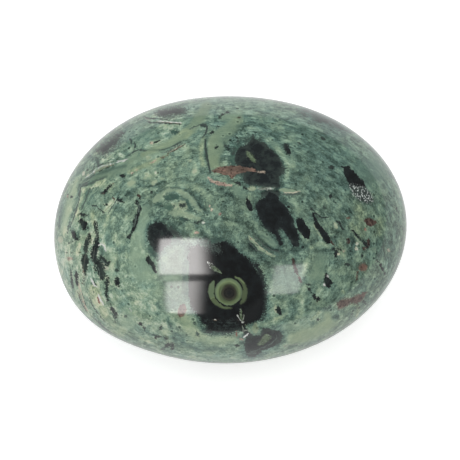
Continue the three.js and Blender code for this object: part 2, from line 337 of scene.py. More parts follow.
# Flecks that lie over the rest. Their tone runs through the colours of VEIN_TONES.
FLECKS = {
    "brown lens": outline(0.25, 0.25, "210,171 218,166.5 228,165.5 238,165 248,167 255,168.5 "
        "255.5,172 250,171 243,172 235,175 232,178 226,175 218,173"),
    "pink end of the lens": outline(0.3, 0.47, "238,166 248,168 254,169.5 254,171 248,170.5 "
        "240,172"),
    "white speck on the lens": oval(0.2, 1, 223, 168, 1.3, 1.1),
    "pink sliver": stroke(0.25, 0.52, "207,177,.8 211,180.5,1.5 217,182.5,1.9 224,184,1.6 "
        "231,184.5,.8"),
    "streak on the upper orb": stroke(0.3, 0.55, "257,171.5,.7 264,171.5,1"),
    "green cleft of the upper orb": oval(0.7, 0.86, 250.5, 156.5, 7, 2.2, 50),
    "olive end of the upper orb": oval(0.35, 0.74, 251.5, 188, 4.6, 2.2),
    "edge of the rusty oval": oval(0.25, 0.24, 181.5, 310, 7, 4.1, 103),
    "rusty oval": oval(0.4, 0.42, 181.7, 309, 4.6, 2.3, 103),
    "red sliver": stroke(0.22, 0.15, "292,259,1.4 293.5,264,1.4 295.5,270,1.6 298,276,1.3 "
        "300.5,282,.9"),
    "rusty patch": outline(0.6, 0.21, "337,308 336,303 340,299.5 343,298 349,297.5 355,295.5 "
        "359,293.5 367,291 365,296 361,300 357,303 352,302 347,305 342,308 339,310"),
    "right rust dot": oval(0.6, 0.27, 362.5, 267, 4, 3.8),
    "dark of the right rust dot": oval(0.3, 0.04, 362.8, 267.3, 1.8, 1.6),
    "trail of the right rust dot": stroke(0.4, 0.2, "357,272,1.2 356,279,.8"),
    "right brown dot": outline(0.35, 0.17, "363,219.5 367,216.8 371,217.8 375,219.6 377,222.5 "
        "373.5,224 370.5,226.3 366,225 364.5,222.5"),
    "white by the brown dot": outline(0.25, 1, "365.5,221.5 368,220.5 370.2,221.5 369,223.5 "
        "367.2,225 366.2,223.3"),
    "brown by the brown dot": oval(0.25, 0.05, 371.8, 222.4, 1.7, 1.2, 40),
    "right orange dot": oval(0.3, 0.4, 365, 229, 1.8, 1.5),
    "right red-brown bar": oval(0.4, 0.16, 368, 242, 4, 1.5, 85),
    "brown bar": outline(0.3, 0.15, "346,239 348.5,237 350,240 349,243.5 346.8,244.5 345.8,242"),
    "brown bar, small": oval(0.3, 0.22, 348, 217.5, 2.4, 1.5),
    "orange dot by the crescent": oval(0.5, 0.38, 236, 333.5, 2.4, 1.3, 100),
    "pink dot by the crescent": oval(0.35, 0.5, 241, 339, 1.8, 1.5),
    "pink dash": oval(0.3, 0.5, 196, 232, 2.5, 1.1),
    "orange in the sliver": oval(0.25, 0.3, 250.5, 237.8, 1.4, 0.7, 50),
    "orange in the sliver, low": oval(0.25, 0.3, 254.5, 243.5, 1.1, 0.6, 45),
    "red head of the crack": oval(0.3, 0.14, 138.5, 195.5, 2.2, 1.4, 50),
    "brown spots": oval(0.3, 0.55, 131.5, 172.6, 1.8, 0.9, -30),
    "red in the top dashes": oval(0.35, 0.15, 239, 117, 2, 1),
    "pink on the left rim": oval(0.3, 0.5, 67.3, 196, 1.3, 1),
    "pink ring on the left rim": oval(0.4, 0.5, 69, 258, 2.4, 2.1),
    "olive drop": outline(0.35, 0.76, "254,321.5 256.8,322.5 258.3,328 257,333 253.5,333.6 "
        "251.8,329.5 252.8,325"),
    "green kite": outline(0.4, 0.86, "209,263 214,265.5 219,269.5 221,273 215,271.5 211,268"),
    "green sliver": stroke(0.25, 0.86, "240,309,.8 240.5,315,1.4 241,320,1"),
    "dot in the eye orb": oval(0.2, 1, 214.3, 319, 0.8, 0.7),
    "white of the star": oval(0.2, 1, 327.5, 275.5, 1.3, 0.9, 60),
    "white under the star": oval(0.2, 1, 324, 284.5, 1.6, 0.9, 60),
    **several("pale crumbs", oval, (0.25, 0.8, 335.7, 246.6, 1.3, 0.8, 45),
        (0.25, 0.62, 338, 254, 1.4, 1.2)),
    "speckles under the upper orb": stroke(0.55, 0.9, "258,188.3,.9 266,187.8,1.2 273,188,.7"),
    "slate haze in the eye orb": stroke(1.4, 0.015, "206,322,3 220,325,4 234,323,3"),
    "tan by the dark knot": oval(0.35, 0.6, 151, 142.6, 1.9, 1.4, -20),
    "red dot under the first streak": oval(0.35, 0.2, 82.5, 283, 1.4, 1),
    "mauve on the edge": stroke(0.3, 0.25, "160,157.6,.5 163,156.4,.8 166.5,154.4,.5"),
    "orange on the edge": stroke(0.3, 0.55, "148.5,163.2,.4 152,161.2,.8 155.5,159.6,.5"),
    "brown spots, more": oval(0.3, 0.5, 135.5, 169.5, 1.2, 0.8, -30),
    "rust at the reddish streak": oval(0.3, 0.26, 112.3, 182.8, 1.4, 0.9, -40),
    "rust at its other end": oval(0.3, 0.24, 102.6, 193.3, 1.2, 0.8, -40),
    "brown by that crumb": oval(0.3, 0.2, 113.6, 198.2, 1.6, 1, 20),
    "orange dots": oval(0.3, 0.58, 209.2, 205.4, 1.3, 0.9, 70),
    "orange dots, low": oval(0.3, 0.56, 210.8, 209.6, 1.2, 1.5),
    "pink dots": oval(0.3, 0.5, 219.3, 213.4, 1.4, 1),
    "lens of the low orb": outline(0.45, 0.86, "257,344.5 260,339 264,334 268,333 270,336.3 "
        "268.5,340.5 263.5,342.8 259,346"),
    "dark in that lens": outline(0.35, 0.07, "261,342 263,338.5 266,337 267,339 264.5,341.5"),
    "pale in that lens": oval(0.3, 0.76, 265.5, 334.8, 2, 1.2, -20),
    "slate top of the eye orb": oval(1.8, 0.055, 212, 247, 8.5, 4, 25),
    "tan by the crumbs": oval(0.35, 0.55, 343.3, 250.8, 1.5, 1.1),
    "pink-white on the right rim": oval(0.3, 0.55, 387.8, 250, 1.4, 1.7),
    "white speck, right": oval(0.25, 0.9, 375, 249.3, 0.9, 0.8),
    "brown specks, right": outline(0.3, 0.2, "360,262 363.5,260.5 365,263 363,264.5"),
    "brown crumbs under the crack": outline(0.3, 0.17, "361.5,247 365,246 366.5,248.5 364,250.5 "
        "362,249.5"),
}

# Threads finer than the mesh, kept apart in two sets so that near ones don't run together.
# Tones are those of VEIN_TONES.
THREADS_A = {
    "edge of the kite": thread(0.97, "206.5,261,.3 210,262.8,.3 213.5,265,.2"),
    "core of the crack": thread(0.09, "136.8,202,.4 138.6,207,.7 138,212,.6"),
    "core of the crack, low": thread(0.08, "136,215.5,.6 134.6,221,.9 133.4,226,.5"),
    "thread by the sliver": thread(0.95, "236.5,314,.4 239,319,.5 241,321.5,.5 244,321.5,.3"),
    **several("crazing", thread, (0.9, "242,331,.4 245,329.5,.5 249,330,.4"),
        (1, "248,332.5,.5 246,335,.6 243,337,.7")),
    "dark under the top vein": thread(0.03, "149,122,.6 165,122.6,.8 181,124,.6"),
    "prong of the tadpole": thread(0.03, "310,207,.5 316,213,.7 321,217,.7 328,217,.6"),
    "tail of the tadpole": thread(0.15, "330,240,.9 334,245.5,.6"),
    "front white edge": thread(0.85, "163,334.3,.5 167.5,337,.6"),
    "the crooked vein": thread(1, "84,177.6,.2 88,175.2,.3 92,172.4,.35 95.5,169,.25 99,166.6,.4 "
        "103,165,.4 107,164.8,.3 110,163.4,.45 114,162.6,.3 118,161.5,.4"),
    "the top vein": thread(1, "156,120,.2 163,121,.4 171,121.7,.6 182,122.4,.4"),
    "dark left line": thread(0.07, "89,180,.3 84,183.5,.6 80.3,187,.6 79,195,.6 76.5,207,.7 "
        "73,218,.6 69,228,.4"),
    "line right of the left bands": thread(0.09, "90,187,.5 87,194,.7 84,202,.8 81,209,.6"),
    "line in the teal field": thread(0.06, "128,137,.4 131,140,.8 131,144,.5"),
    "line over the band, right": thread(0.07, "158,149.7,.3 164,148.9,.5 171,146.2,.5 "
        "177,143.2,.5 184,139.5,.3"),
    "dark knot over the band": thread(0.02, "153,142.5,.6 156,141,1.1 160,140,.5"),
    "left edge of the olive field": thread(0.05, "205,139,.5 205,146,.8 206,154,1 207.5,162,.9 "
        "209.5,170,.8 210,173,.4"),
    "fibre in the first streak": thread(0.12, "86,249,.4 84.5,257,.7 83,266,.5 83,272,.3"),
    "fibre in the second streak, low": thread(0.12, "94.5,246,.3 93,254,.6 92,262,.4"),
    "rim dash": thread(0.02, "75.8,271,.6 75.5,278,1.1 76.5,285,.8"),
    "dark by the pale streak": thread(0.05, "80.5,289,.3 82.5,297,.6 85.5,305,.4"),
    "white slash": thread(1, "90.3,277.5,.6 92,281.5,1 94.5,285.3,.9 97.5,287,.6"),
    "white slash, low": thread(1, "97.3,293,.5 99.3,297.5,.9 101.5,302,.8 103,305,.4"),
    "dark under the pale lens": thread(0.08, "281,193.5,.5 290,194.3,.8 300,192.5,.5"),
    "cream edge of the sliver": thread(0.7, "249,235.5,.3 254,241.5,.6 260,247,.6 268,252.5,.4 "
        "275,255,.2"),
    "beads of the top vein": thread(0.9, "143.5,117,.6 147,118.8,.7 150,119.8,.4"),
    "white line in the ring": thread(1, "97.8,244.8,.5 101,243.8,.9 104,246.2,.8 105.3,251,.4"),
    "rim line, upper": thread(0.09, "69,221,.5 67.5,228,.8 66.5,234,.4"),
    "laminar line 2": thread(0.08, "88,296,.4 92,305,.6 98,314,.6 105,322,.4"),
    "line inside the left crescent": thread(0, "213.2,292,.4 215,297.6,.7 219.4,302.6,.8 "
        "226,306,.8 232,305.6,.9 238,301.6,.8 241,298,.4"),
    "line over the band, far right": thread(0.09, "188,129,.3 194,126.3,.6 200,124.2,.6"),
    "white line in the strip": thread(0.62, "168,152,.2 174,148.8,.4 181,144.9,.3"),
    "dark in the vein": thread(0.03, "95,172.6,.3 99,170.4,.5 104,167.6,.4 109,166.2,.5 "
        "113,165,.3"),
    "white legs": thread(0.9, "82.6,268,.3 83,273,.6 84.4,277.5,.3"),
    "white in the pale vein": thread(0.74, "101,211.8,.3 104.5,209.8,.5 108,206.5,.5 111,204,.5 "
        "114,200.5,.4"),
    "fibre in the second streak": thread(0.11, "95,226,.3 96.2,233,.6 95.4,240,.5"),
    "white specks over the dull corner": thread(0.95, "128.4,307.4,.5 130.2,309.5,.25 "
        "131.4,311.4,.5"),
}
THREADS_B = {
    **several("crazing", thread, (0.9, "241.5,325,.3 243,328.5,.4 242,332,.3"),
        (0.8, "245,324,.3 248,328,.4 249.5,332,.4")),
    "inner thread by the sliver": thread(0.9, "243,313.5,.4 243.4,317,.5 242.5,320,.4"),
    "edge of the vein": thread(0.09, "116,199,.5 111.5,206.5,.8 107.5,213,.6"),
    "small ledge": thread(0.06, "91,205,.7 96,205,.7"),
    "zigzag by the vein": thread(0.06, "97,207,.6 101,210,.8 104,213,.6"),
    "end of the crooked vein": thread(0.97, "117,160.5,.5 122,160.5,.8 127,158.5,.5"),
    "dark under the crooked vein": thread(0.06, "85,180,.4 90,177,.5 94,173.9,.5"),
    "dark over the crooked vein": thread(0.05, "86,173.6,.3 92,169.5,.5 98,164.6,.4 106,162.5,.4 "
        "114,160,.4"),
    "dark over the top vein": thread(0.05, "144,117,.5 149,117.6,.7 156,118,.6 168,119.3,.5"),
    "dark under the top vein, left": thread(0.06, "146,121,.7 153,122.5,.7 160,123,.5"),
    "lower edge of the smooth band": thread(0.09, "84,184.5,.5 92,182,.7 99,179,.7 105,177,.5"),
    "line in the teal field, more": thread(0.06, "133.5,141,.4 135,145,.8 133.5,149,.5"),
    "line over the band": thread(0.07, "128,155.5,.4 133,151,.7 138,149.3,.6 146,150,.5"),
    "wiggle over the olive field": thread(0.06, "199,124.5,.8 205,124,1.1 207,128,.9 205,133,.9 "
        "202,137,.5"),
    "fibre in the third streak": thread(0.1, "97.5,266,.3 99,272,.5 99.5,277,.3"),
    "pale streak by the rim dash": thread(0.62, "78.5,279,.4 79,287,.7 81.5,296,.7 84,304,.5 "
        "88,311,.3"),
    "dark by the white slash": thread(0.05, "92.5,278,.4 94,282,.7 96.5,285.5,.6"),
    "rust by the low slash": thread(0.36, "97,296,.7 98.2,299.5,1.1 99.5,303,.6"),
    "pale line in the lens": thread(0.62, "283,191.8,.4 292,192.3,.5 300,190.5,.3"),
    "pale edge of the tadpole": thread(0.74, "313,224,.4 317,231.5,.6 321.5,238,.5"),
    "pale edge of the crack": thread(0.74, "353,235,.3 357.5,239.5,.5 361.5,244,.4"),
    "dark left of the sliver": thread(0.07, "246.5,237,.5 250,243.5,.7 256,249.5,.6 263,253.5,.4"),
    "dark right of the sliver": thread(0.07, "253,233,.4 258,239.5,.8 264,245.5,.7 271,250,.7 "
        "279,251,.5"),
    "left edge of the kite": thread(1, "207,261.5,.3 208.2,264.5,.3 209.6,268,.2"),
    "outer rim line": thread(0.06, "69.5,268,.5 70.5,276,.8 72.5,287,.5"),
    **several("laminar line", thread, (0.09, "76,290,.4 80,300,.6 86,312,.4"),
        (0.09, "93,317,.4 101,325,.6 110,332,.5 118,337,.3")),
    "line inside the right crescent": thread(0, "232,277,.5 237,280,.8 241,284.6,.8 243,289.5,.4"),
    "brown line under the band": thread(0.17, "167,153.3,.2 171,151.3,.4 176,148.5,.5 "
        "182,145.3,.4 185,143,.2"),
    "grey line in the strip": thread(0.1, "160,152.4,.3 166,151,.5 172,148.2,.5 178,144.6,.4 "
        "183,141.6,.3"),
    "second strand of the vein": thread(0.8, "94,171.5,.3 97,170.4,.5 101,168.2,.4 105,167,.3 "
        "109,164.6,.3"),
    "ring of the low orb": thread(0.08, "250,351,.3 256,350,.5 262,347,.5 270,343.5,.5 276,338,.5 "
        "276,334,.3"),
    "fold of the low orb": thread(0.1, "244,352.5,.3 250,353.5,.6 256,352.5,.4"),
    "fibre in the left hook": thread(0.1, "100,258,.3 103.5,261.5,.6 106.5,264,.3"),
    "white dashes under the low orb": thread(0.9, "283,346,.4 288,344.6,.6 293,344,.3 298,343,.5"),
}

# Broad changes of the ground on the show face, partly painted shading from the front left.
FIELDS = {
    # Own tone and painted light: these three are lighter, partly as if lit from the front left.
    "left side": field((84, 250), (48, 66), 0, 0.13, 0.03, 0.15, 0.5),
    "left of the eye orb": field((155, 285), (40, 44), 0, 0.09, 0, -0.05),
    "lower left": field((140, 322), (66, 34), 20, 0.11, 0, 0.05, 0.4),
    "upper left": field((150, 148), (58, 28), -20, 0.08, -0.02, 0, 0.2),
    "top": field((225, 125), (60, 26), 0, 0.02, -0.15, 0, 0.2),
    # Painted: darker, calmer ground under the window reflections, to offset their highlight.
    "under the windows": field((180, 272), (26, 38), 0, -0.17, 0.1, -0.4),
    "upper right": field((325, 145), (54, 34), 28, -0.05, -0.3, -0.2, 0.45),
    # Own tone and painted shade: the middle and right are darker, partly away from that light.
    "middle": field((262, 212), (56, 40), 0, -0.06, -0.05, -0.08),
    "right": field((350, 230), (42, 60), 0, -0.09, -0.05, -0.05, 0.2),
    "lower right": field((305, 305), (58, 36), -20, 0.06, 0, 0, 0.2),
    "right rim": field((392, 250), (10, 50), 0, -0.02, -0.1, -0.1, 0.8),
    "dark green, upper right": field((374, 170), (16, 20), 50, -0.01, -0.15, -0.6, 0.3),
    "purple-dark band": field((322, 119), (24, 5), 22, -0.12, -0.3, 0, 0.3),
    "fibrous left of the upper orb": field((229, 148), (12, 18), -20, -0.1, -0.3, 0.2, 0.8),
    "grey on the left rim": field((60, 214), (5, 16), 10, -0.14, -0.35, -0.2, 0.3),
    "beyond the eye orb": field((262, 250), (26, 24), 35, -0.09, -0.1, -0.1),
    "front": field((225, 356), (60, 12), 0, 0.09, -0.1, -0.1, 0.5),
    "upper right, inner": field((318, 182), (34, 30), 20, -0.05, -0.12, 0, 0.1),
    # Painted: calmer, duller ground under the side window's reflection, to offset its highlight.
    "under the side window": field((288, 280), (17, 15), -10, -0.02, -0.1, -0.45),
    "laminar rim": field((80, 296), (14, 40), -30, 0, 0, -0.1, 0.5),
    "round the ringed dots": field((160, 204), (28, 16), 0, -0.06, -0.1, 0.1),
    "left rim, pale": field((62, 265), (8, 22), 0, 0.12),
    "under the top vein": field((156, 136), (20, 14), -20, 0.07),
    "right of the eye orb's top": field((252, 221), (17, 13), 30, -0.08, -0.05),
    "right rim, upper": field((399, 203), (6, 14), 0, 0.08, -0.05),
    "right half": field((352, 215), (48, 75), 0, 0.02, -0.05),
    "right of the dark lens": field((343, 171), (16, 15), 0, 0.06),
    "left of the upper orb": field((238, 134), (9, 12), 0, -0.09, -0.1),
    "round the left streaks": field((82, 252), (26, 40), 0, 0.06),
    "right of the eye orb": field((250, 252), (14, 16), 40, -0.06, -0.05),
    "top, bluer": field((235, 112), (85, 20), 0, 0, -0.12),
    "over the left windows": field((160, 108), (22, 14), -25, 0.06),
    "left of the lower window": field((150, 290), (10, 26), 0, 0.07),
}

# The marbling of the ground on the show face.
BANDS = {
    "smooth band to the top": band(0, 0.45, 2.2, "143,153.5,2.4 156,149,3 168,143.5,3.6 "
        "180,136.5,4.6 191,128,5 200,116,5 206,106,5", -0.7),
    "dark under the crooked vein": band(-0.12, -0.3, 1.5, "84,180,1 94,174,1.2 104,171.5,1.2 "
        "113,167.5,1.5 125,165.5,1", -0.3),
    "line under the smooth band": band(-0.16, -0.3, 1, "80,184.5,.8 88,184.5,.8 93,181.5,.8 "
        "100,178,.7 106,176.6,.5"),
    "pale below that line": band(0.1, 0.35, 2.2, "84,189,2.4 92,186,2.4 99,181.5,2.2 104,180,1.4"),
    "teal patch": band(-0.1, -0.2, 2.5, "149,126,2 154,131,5 157,134,3"),
    "teal field": band(-0.04, -0.3, 5, "122,136,5 136,131,7 148,136,6", -0.3),
    "pale under the top vein": band(0.09, 0.2, 2.5, "158,126,2 166,125.5,2.5 176,126,3 181,128,1"),
    "pale rim": band(0.05, 0.1, 3, "86,160,2 98,149,2 110,160,2", -0.2),
    "dark streak": band(-0.17, -0.3, 1.3, "95,157,1 97,161,1.6 98,165,1"),
    "grey streak": band(-0.12, -0.3, 2, "89,155,2 92,160,1.5"),
    **several("left dark bits", band, (-0.15, -0.2, 1.2, "131,139,1 131,143,1.2"),
        (-0.12, -0.2, 1.2, "134,143,1.2 134.5,147,1")),
    "thin dark to the right": band(-0.13, -0.2, 1.2, "127,155,.8 134,150.5,1 141,149,.8 "
        "150,149.5,.7 160,149.5,.8 170,147.5,.8 180,141,.7", -0.2),
    "tan line": band(0.02, 0.7, 1.5, "128,172,1 140,166,1.2 150,162,1.2 160,158,1", -0.3),
    **several("pale blob", band, (0.1, 0.2, 1.5, "146,174.5,2.2 149,175,2.4"),
        (0.14, 0.3, 1.5, "155.5,172.5,2.2 156.5,174,1.8"),
        (0.09, 0.2, 1.5, "159,177.5,1.6 163,178,1.6"),
        (0.08, 0.2, 1.8, "129,184,3 134,183,3", -0.2),
        (0.08, 0.2, 1.5, "151,181.5,1.8 155,180.5,1.8"),
        (0.08, 0.1, 1.2, "141,176,1.4 142,177,1.2")),
    "dark line under the blobs": band(-0.13, -0.2, 1.3, "136,182,1 141,185.5,1.2 149,186,1.2 "
        "156,184,1.2 164,181,1"),
    "dark line left of the blobs": band(-0.12, -0.2, 1.3, "119,186,1 123,182.5,1.2 128,179.5,.8"),
    "olive field": band(0.04, 0.5, 2.5, "238,121,5 230,128,6.5 222,135,8.5 216,144,9.5 213,154,7 "
        "213,163,5.5", -0.85),
    "olive field, upper part": band(0.05, 0.3, 3, "222,118,3 230,116,4 240,114,3", -0.6),
    "dark left edge of the field": band(-0.17, -0.3, 1.2, "205,140,1 205.5,150,1.5 206,158,1.3 "
        "208,166,1.2 210,172,.8"),
    "tan strip": band(0.07, 0.6, 1.8, "203,138,2 201,146,2.6 201,156,2.2 202,164,1.6", -0.2),
    "dark left of the tan strip": band(-0.08, -0.2, 2.5, "190,142,2 191,150,3 192,157,2.5"),
    "pale drops": band(0.09, 0.2, 1.5, "193.5,162,2.4 194.5,163,2", -0.2),
    "pale drops, low": band(0.1, 0.2, 1.5, "194.5,167,3 195,172,3.4", -0.2),
    "rim above the orbs": band(0.05, 0, 4, "190,104,3 215,101,3 245,100,3 270,104,3", -0.3),
    "arc over the upper orb": band(0.06, 0.1, 2, "245,112,1.2 258,114,1.5 270,121,1.5 "
        "280,130,1.2"),
    "dark arc over the upper orb": band(-0.09, -0.3, 2.5, "238,126,2 250,122,2.5 262,127,2.5 "
        "274,136,2 283,146,1.5"),
    "speckle over the upper orb": band(-0.07, -0.1, 3, "238,134,2.5 247,130,3 257,132,2.5", 0.5),
    "pale right of the upper orb": band(0.08, 0.2, 1.8, "263,136,1.2 271,143,2.2 279,151,2.4 "
        "284,159,2.2 287,168,2.4 286,178,2.2"),
    "dark left of it": band(-0.14, -0.3, 1.2, "223.5,142,.9 226,147,1.2 230,150.5,.8"),
    "pale drop, right": band(0.09, 0.2, 1.5, "291.5,158,1.8 293,165,2.4", -0.2),
    "dark right of the upper orb": band(-0.06, -0.2, 4, "298,166,3 300,176,4 297,184,3"),
    "upper right darks": band(-0.07, -0.2, 4, "305,146,2.5 316,153,3 330,160,3 342,164,3"),
    "upper right darks, low": band(-0.06, -0.2, 4, "330,172,3 338,180,3 344,184,2"),
    **several("upper right pales", band, (0.06, 0.1, 2.5, "312,144,1.5 322,151,1.8 333,157,1.6"),
        (0.05, 0.1, 2.5, "318,160,1.5 321,170,2 324,178,2")),
    "upper right pales, low": band(0.05, 0.2, 2.5, "311,176,1.6 313,184,2"),
    "purple on the rim": band(-0.1, -0.4, 4, "303,110,2 318,117,4 334,124,4 346,131,2", -0.2),
    "pale band, outermost": band(0.11, 0.35, 2.5, "76,180,2 73,190,3.4 69,203,3.8 65,218,3.4 "
        "63,232,2.5", -0.65),
    "dark line, outermost": band(-0.09, -0.3, 1.3, "79.5,185,1 78,192,1.1 76.6,201,1.1 "
        "73.6,210,1.1 70.6,218,1 68,227,.8"),
    "pale band, more": band(0.09, 0.3, 1.6, "83,189,2 81,198,2 78,207,1.8 74.5,216,1.8 "
        "71.5,224,1.5", -0.2),
    "dark line, more": band(-0.1, -0.2, 1.3, "88,189,1 86,197,1.3 83,204,1 80,210,.8"),
    "pale below the reddish streak": band(0.05, 0.1, 3, "99,186,2 96,195,3 92,200,2"),
    "teal right of the streak": band(-0.08, -0.2, 3, "114,190,2 122,194,4 131,193,4"),
    "dark streaks there": band(-0.2, -0.2, 0.9, "125,194.5,.8 129,192,.8"),
    "pale vein": band(0.2, 0.3, 1.2, "114,199.5,2 110,204,2.6 106,208.5,2.4 "
        "102.5,211.5,1.5", -0.3),
    "tail of the pale vein": band(0.07, 0.2, 1.8, "110,210,1.2 107,218,1.6 104,226,1.6 "
        "102,234,1.2", -0.2),
    "dark line right of the vein": band(-0.13, -0.2, 1.4, "116,206,.9 112,213,1.2 109.5,220,1.2 "
        "109,227,1.3 110,231,1", -0.2),
    "smooth right of that line": band(-0.03, 0, 2, "107,226,2.5 109,232,2", -0.3),
    "teal oval": band(-0.09, -0.3, 2, "107.5,237,3 109.5,243,3.5", -0.5),
    "pale right of the teal oval": band(0.06, 0.1, 2, "115,236,1.5 117,243,2"),
    "pale ring": band(0.14, 0.15, 1, "98,244.5,.8 102,242.8,1.2 105,246,1.2 106.5,251,.8", -0.3),
    "green in the ring": band(-0.16, -0.2, 1.3, "101,247.5,2 101.5,253,2.4", -0.5),
    "pale column": band(0.11, 0.1, 2, "111,249,3 112.5,258,3.6 111.5,268,3 110.5,275,2", -0.3),
    "dark column": band(-0.1, -0.2, 1.5, "119,250,1.2 118,260,1.5 116,270,1.8 115,275,1.2", -0.2),
    "cream lens": band(0.13, 0.4, 1, "126,251.5,1 126,257,1.3", -0.3),
    "olive right of the crack": band(0.05, 0.1, 3, "147,207,4 143,217,4 140,228,5 137,240,5 "
        "136,252,6", -0.6),
    "sage field": band(0.02, 0.05, 5, "137,262,9 141,272,9", -0.6),
    "pale in the ring of the left orb": band(0.05, 0.1, 1.4, "152,217,1.2 145,223,1.4 "
        "142.5,232,1.4 143.5,242,1.4", -0.4),
    "left side darks": band(-0.1, -0.2, 2, "80,228,2 76,235,2 72,240,1.5"),
    "left side pales": band(0.08, 0.2, 2, "83,236,2 79,244,2.4 76,256,2 79,268,2"),
    "left side pales, inner": band(0.07, 0.1, 1.5, "92,234,1.6 90.5,243,1.4 90,254,1.2"),
    "left side, tan": band(0.05, 0.5, 1.8, "92,211,1.5 92,219,1.5 93,225,1"),
    "outer arc": band(0.05, 0.1, 1.8, "158,193,1.6 167,186.5,2.2 180,183,2.4 192,185,2.6 "
        "202,189.5,2.8 209,196,2.8 214,205,2.4 217,213,1.6", -0.2),
    "dark arc": band(-0.1, -0.3, 1.6, "184,189,1.2 193,193,2.2 198.5,199,2.6 201,206,2.4 "
        "205,211,1.5", -0.2),
    "inner arc": band(0.06, 0.15, 1.6, "160,197.5,1.6 163,193.5,2 169,191,1.8 176,190.5,1.6 "
        "183,192,2 188,196,2.6 192,202,2.4 196,207,2 199,211,1.4"),
    "pale at the cloud": band(0.08, 0.1, 1.5, "156,195,1.5 160,198,2 155,201,1.5"),
    "dark left of the cloud": band(-0.12, -0.2, 2, "157,204,2 162,207,2.2"),
    "pale star": band(0.09, 0.1, 1, "176,199,.8 177.5,204,1 175,209,.8 170,207,.8 170,203,.8 "
        "174,201,.8"),
    "pale under the ringed dot": band(0.13, 0.25, 1.6, "176,211.5,1.6 183,212.5,2.2 189,216,2.6 "
        "197,218,2"),
    "pale right of it": band(0.07, 0.1, 1.5, "195,212,1.4 200,214.5,1.4"),
    "teal under the arc": band(-0.1, -0.25, 3, "166,218,2.5 174,222,3 182,224,2.5"),
    "teal right of the left orb": band(-0.16, -0.3, 2.5, "172,226,2 180,231,3 187,235,2"),
    "pale streaks there": band(0.08, 0.1, 1, "171,219,.8 175,224,1 181,229,.8"),
    "pale column by the arc": band(0.08, 0.15, 1.8, "191,224,1.6 193,231,2"),
    "teal by that column": band(-0.08, -0.2, 2.5, "197,225,2 202,232,2.5 204,236,2"),
    **several("pale spots", band, (0.08, 0.15, 1.8, "214,223,2.4 216,224,2"),
        (0.07, 0.1, 1.8, "205,228,2.2 207,231,1.6")),
    "dark over the eye orb": band(-0.15, -0.3, 2.5, "205,238,1.5 213,240,2.5 221,239,2", 0.2),
    "dark over that": band(-0.08, -0.2, 3, "213,233,2 221,231,3 228,233,2.5"),
    "pale diagonal": band(0.07, 0.2, 2, "221,222,1 230,222.5,1.3 238,226,1.6 245,232,1.4", -0.1),
    "dark over the diagonal": band(-0.09, -0.2, 1.6, "221,217,1.2 229,219,1.4 237,221,1.2"),
    "pale rim of the eye orb": band(0.06, 0.1, 2, "231,239,1.5 240,246,2 249,254,2 257,262,2 "
        "262,271,2.2 267,280,2.4 269,290,2"),
    "teal beyond that rim": band(-0.07, -0.25, 2, "250,247,2 257,253,2 264,259,2.4 270,265,2"),
    "teal patch by the bean": band(-0.1, -0.25, 3, "222,190,3 229,196,4 226,204,3.5", 0.1),
    "pale dot in it": band(0.16, 0.1, 0.9, "226,203.5,1 227,205,.9"),
    "smooth left of the bean": band(0.03, 0, 2.5, "234,188,3 240,193,3.5 243,197,2", -0.6),
    "pale right of the bean": band(0.07, 0.15, 1.8, "244,212,1.8 250,219,2.4 257,226,2.6 "
        "264,231,2.2"),
    "pale loop": band(0.09, 0.2, 1.5, "258,231,1.5 264,236,3.6 271,242,3.4 275,245,2", -0.5),
    "line in the loop": band(-0.09, -0.2, 0.9, "261,235,.7 267,238,.8 272,243,.6"),
    "dark round the loop": band(-0.12, -0.2, 1.3, "252,231,1 258,237,1.2 264,243,1.3 "
        "271,248.5,1.2 277,250,.9"),
    "dark left of the sliver": band(-0.1, -0.2, 1.6, "246,238,1.2 250,245,1.6 256,250,1.4"),
    "pale between the orbs": band(0.06, 0.1, 2, "293,199,2.4 299,209,2.4 305,215,2 311,226,2 "
        "314,236,1.8", -0.2),
    "gap by the oval": band(0.09, 0.1, 1, "293.5,220,.8 297.5,229,1.2 302,237,1.2", -0.2),
    "teal round the prongs": band(-0.12, -0.25, 1.6, "276,250,1.2 286,252,1.6 297,250,2 306,245,2 "
        "315,239,1.4", -0.2),
    "gap of the prongs": band(0.06, 0.15, 1, "282,234,1 286,241,1.6 289,247,1.6"),
    "teal over the middle orb": band(-0.2, -0.3, 2.2, "262,193,2 270,191.5,3 278,192,2"),
    "pale over the star": band(0.09, 0.3, 1.5, "311,247,1.4 317,244,2.6 322,243,2 327,245.5,2"),
    "pale streak down": band(0.09, 0.2, 1.6, "311,249,1.2 308.5,256,2 305,264,2.2 303.5,272,1.8"),
    "sage right of it": band(0.02, 0.1, 4, "320,256,6 318,266,7 316,276,6", -0.6),
    "teal under the star patch": band(-0.08, -0.2, 2, "316,250,1.6 325,251,2"),
    "right tan field": band(0.05, 0.5, 5, "358,208,6 362,218,7 360,232,6 352,226,4"),
    "right tan field, low": band(0.06, 0.5, 3, "338,250,3 343,254,3.4 340,245,2"),
    "right tan field, far": band(0.04, 0.4, 4, "380,220,4 378,232,4"),
    **several("right teal", band, (-0.09, -0.25, 2.5, "345,208,3 350,213,3"),
        (-0.12, -0.3, 2.5, "352,239,2 354,247,3.4 350,253,2.6"),
        (-0.08, -0.25, 3, "338,232,2.5 334,238,2.5"), (-0.07, -0.2, 2, "347,270,2.4 348,277,2"),
        (-0.07, -0.2, 3, "378,246,3 380,256,3"), (-0.08, -0.2, 2, "330,213,1.6 336,219,1.6")),
    **several("right pales", band, (0.06, 0.2, 2, "322,196,2 327,205,2.2"),
        (0.07, 0.2, 2, "338,208,1.4 345,196,1.6"), (0.09, 0.2, 2.5, "337,279,3 341,285,2.6"),
        (0.06, 0.1, 2, "349,222,2.4 353,219,2"), (0.05, 0.2, 2, "356,254,2 359,260,2")),
    "pinkish spots": band(0.06, 0.7, 1.4, "342,291,1.5 344,292.5,1.2"),
